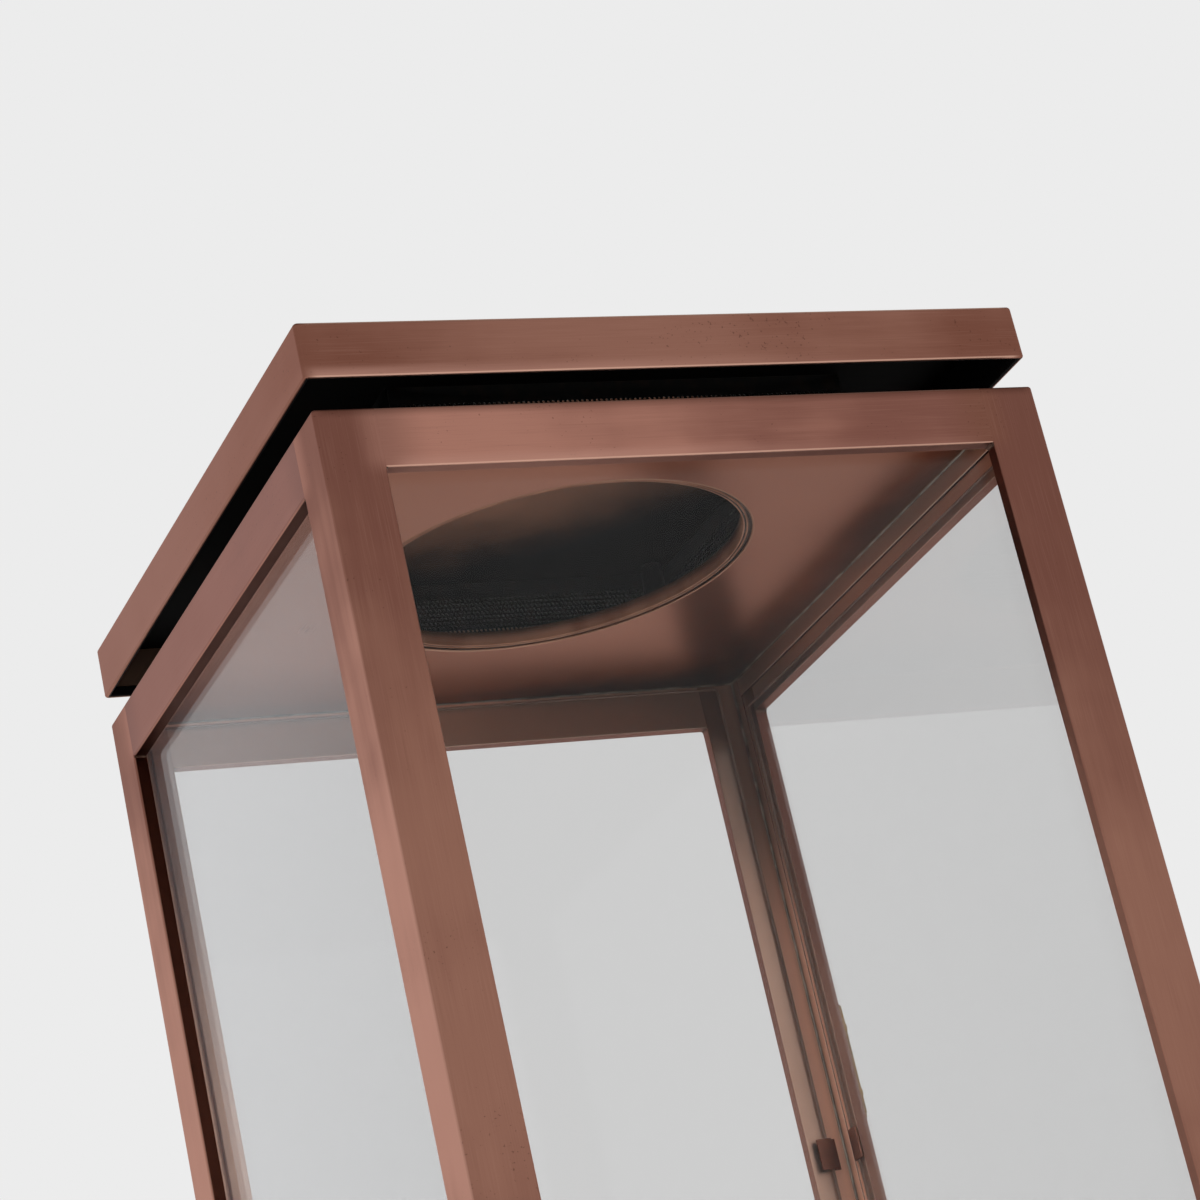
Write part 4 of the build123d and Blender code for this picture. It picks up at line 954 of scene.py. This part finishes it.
# The lid's inside faces: soot and painted shade
lid.data.materials.append(soot)
for face in lid.data.polygons:
    x, y, z = face.center
    face.material_index = max(abs(x), abs(y)) < LID_HIGH.x - 1.0 * MM and z < LID_HIGH.z - 0.6 * MM
piece("beaded_flue_ring", flue_ring_shape(), "lamp", flue_copper(), "aged_copper", "flue_ring", crease=60)
piece("ceiling_hole_rim", hole_rim(), "lamp", copper_ring, "aged_copper", crease=60)
for wall, quarters in WALLS.items():
    node_name = f"vent_screen_{wall}"
    shape = screen_shape(node_name, quarters)
    screen = piece(f"perforated_screen_{wall}", shape, "lamp", mesh_black, "perforated_steel", node_name)
    screen.modifiers.clear()
    sheet = screen.modifiers.new("sheet", "SOLIDIFY")
    sheet.thickness = SCREEN_SHEET
    sheet.offset = -1.0
    screen.data.materials.append(sheared)
    sheet.material_offset_rim = 1

# Panes
for wall, quarters in WALLS.items():
    name, body = ("door_glass_pane", "door") if wall == "right" else (f"glass_pane_{wall}", "lamp")
    clear = {"left": darker_left_glass, "right": door_glass}.get(wall, glass)
    pane = piece(f"ground_{name}", pane_shape(name, quarters), body, clear, "clear_glass", name)
    pane.data.materials.append(foil)
    largest = max(face.area for face in pane.data.polygons)
    for face in pane.data.polygons:
        face.material_index = face.area < 0.5 * largest

# Solder seams inside the lantern; the latch swings in the corner that has none
piece("ceiling_seam", ceiling_seam(0.8 * MM), "lamp", bright_solder, "aged_copper", crease=60)
seams = joined([corner_seam(*corner, 0.9 * MM) for corner in ((-1, -1), (-1, 1), (1, 1))])
piece("corner_seams", seams, "lamp", bright_solder, "aged_copper", crease=60)

# Screw heads and the weld at the post's foot
head_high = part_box("lid_screws")[1]
spot = head_high.x - SCREW_HEAD
spots = [(x, y, LID_HIGH.z) for x in (-spot, spot) for y in (-spot, spot)]
lid_heads = slotted_heads(spots, head_high.z - LID_HIGH.z)
piece("slotted_lid_screws", lid_heads, "lamp", brass, "brass", "lid_screws")
piece("weld_at_post_foot", weld_bead(), "lamp", paint, "bronze_paint", crease=60)

# Finishes of the pieces that stay as they are
FINISHES = {
    paint: ("base_plate", "post_tube", "post_fitter"),
    zinc_steel(): ("fitter_set_screws", "floor_screws"),
    copper_ceiling: ("ceiling_plate",),
    copper_floor: (
        "floor_plate", "glass_clips_front", "glass_clips_left", "glass_clips_rear", "door_glass_clips",
    ),
    brass: (
        "hinge_frame_leaves", "hinge_door_leaves", "hinge_pins", "hinge_frame_screws", "hinge_door_screws",
        "latch_thumb_turn", "latch_tongue", "latch_nut", "riser_lock_nuts", "gas_cock_body",
        "gas_cock_plug", "gas_cock_lever", "flame_valve_body", "flame_adjust_knob", "burner_holder",
    ),
    drawn_copper(): ("gas_inlet_coupling", "gas_riser_pipe", "burner_tube"),
    steatite(): ("burner_tip",),
    # Pillars in the vent gap: soot and painted shade
    soot: ("lid_pillars",),
}
for material, names in FINISHES.items():
    for name in names:
        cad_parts[name].data.materials.clear()
        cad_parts[name].data.materials.append(material)

# Floor, light and camera
floor_mesh = bpy.data.meshes.new("studio_floor")
floor_mesh.from_pydata([(*corner, 0.0) for corner in square(FLOOR_HALF)], [], [(0, 1, 2, 3)])
floor_mesh.materials.append(pale_floor())
floor = bpy.data.objects.new("studio_floor", floor_mesh)
scene.collection.objects.link(floor)

# Plain for the camera; softer for rays that copper reflects, and brighter where they then pass a pane
world = bpy.data.worlds.new("studio")
world.use_nodes = True
sky = world.node_tree
add = partial(node, sky)
direction = add("TexCoord", {}, "Generated")
frontness = add("VectorMath", [direction, BRIGHT_SIDE], "Value", operation="DOT_PRODUCT")
level_light = add("MapRange", [frontness, -1.0, 1.0, 0.74, 0.78])
height = add("SeparateXYZ", [direction], 2)
overhead_fall = add("MapRange", [height, 0.4, 0.95, 1.0, 0.5], **SMOOTH)
level_light = add("Math", [level_light, overhead_fall], **TIMES)
towards_window = add("VectorMath", [direction, WINDOW], "Value", operation="DOT_PRODUCT")
window = add("MapRange", [towards_window, 0.85, 0.99, 0.0, 0.2], **SMOOTH)
reflected = add("Math", [level_light, window], **PLUS)
rays = add("LightPath", {}).node.outputs
mirrored = add("Math", [rays["Is Glossy Ray"], rays["Is Reflection Ray"]], **TIMES)
strength = add("Mix", {0: mirrored, 2: linear("#ECECEC")[0], 3: reflected})
through_pane = add("Math", [rays["Glossy Depth"], 1.0], operation="MINIMUM")
through_pane = add("Math", [through_pane, rays["Is Transmission Ray"]], **TIMES)
strength = add("Math", [through_pane, 0.85, strength], **TIMES_PLUS)
sky.links.new(strength, sky.nodes["Background"].inputs["Strength"])
sky.nodes["Background"].inputs["Color"].default_value = (1.0, 1.0, 1.0, 1.0)
scene.world = world

light = bpy.data.lights.new("light_above", "AREA")
light.size = LIGHT_SIZE
light.energy = LIGHT_POWER
overhead = bpy.data.objects.new("light_above", light)
overhead.location = (0.0, 0.0, LIGHT_HEIGHT)
overhead.visible_glossy = False
scene.collection.objects.link(overhead)

camera_data = bpy.data.cameras.new("camera")
camera_data.lens = CAMERA_LENS
camera_data.clip_start = 0.01
camera = bpy.data.objects.new("camera", camera_data)
camera.location = Vector((0.0, 0.0, FRAME_TOP)) + CAMERA_PLACE
heading, tilt = math.radians(CAMERA_HEADING), math.radians(CAMERA_TILT)
forward = Vector((math.sin(heading) * math.cos(tilt), math.cos(heading) * math.cos(tilt), math.sin(tilt)))
camera.rotation_mode = "QUATERNION"
roll = Quaternion((0, 0, 1), math.radians(CAMERA_ROLL))
camera.rotation_quaternion = forward.to_track_quat("-Z", "Y") @ roll
scene.collection.objects.link(camera)
scene.camera = camera
scene.view_settings.view_transform = "Standard"
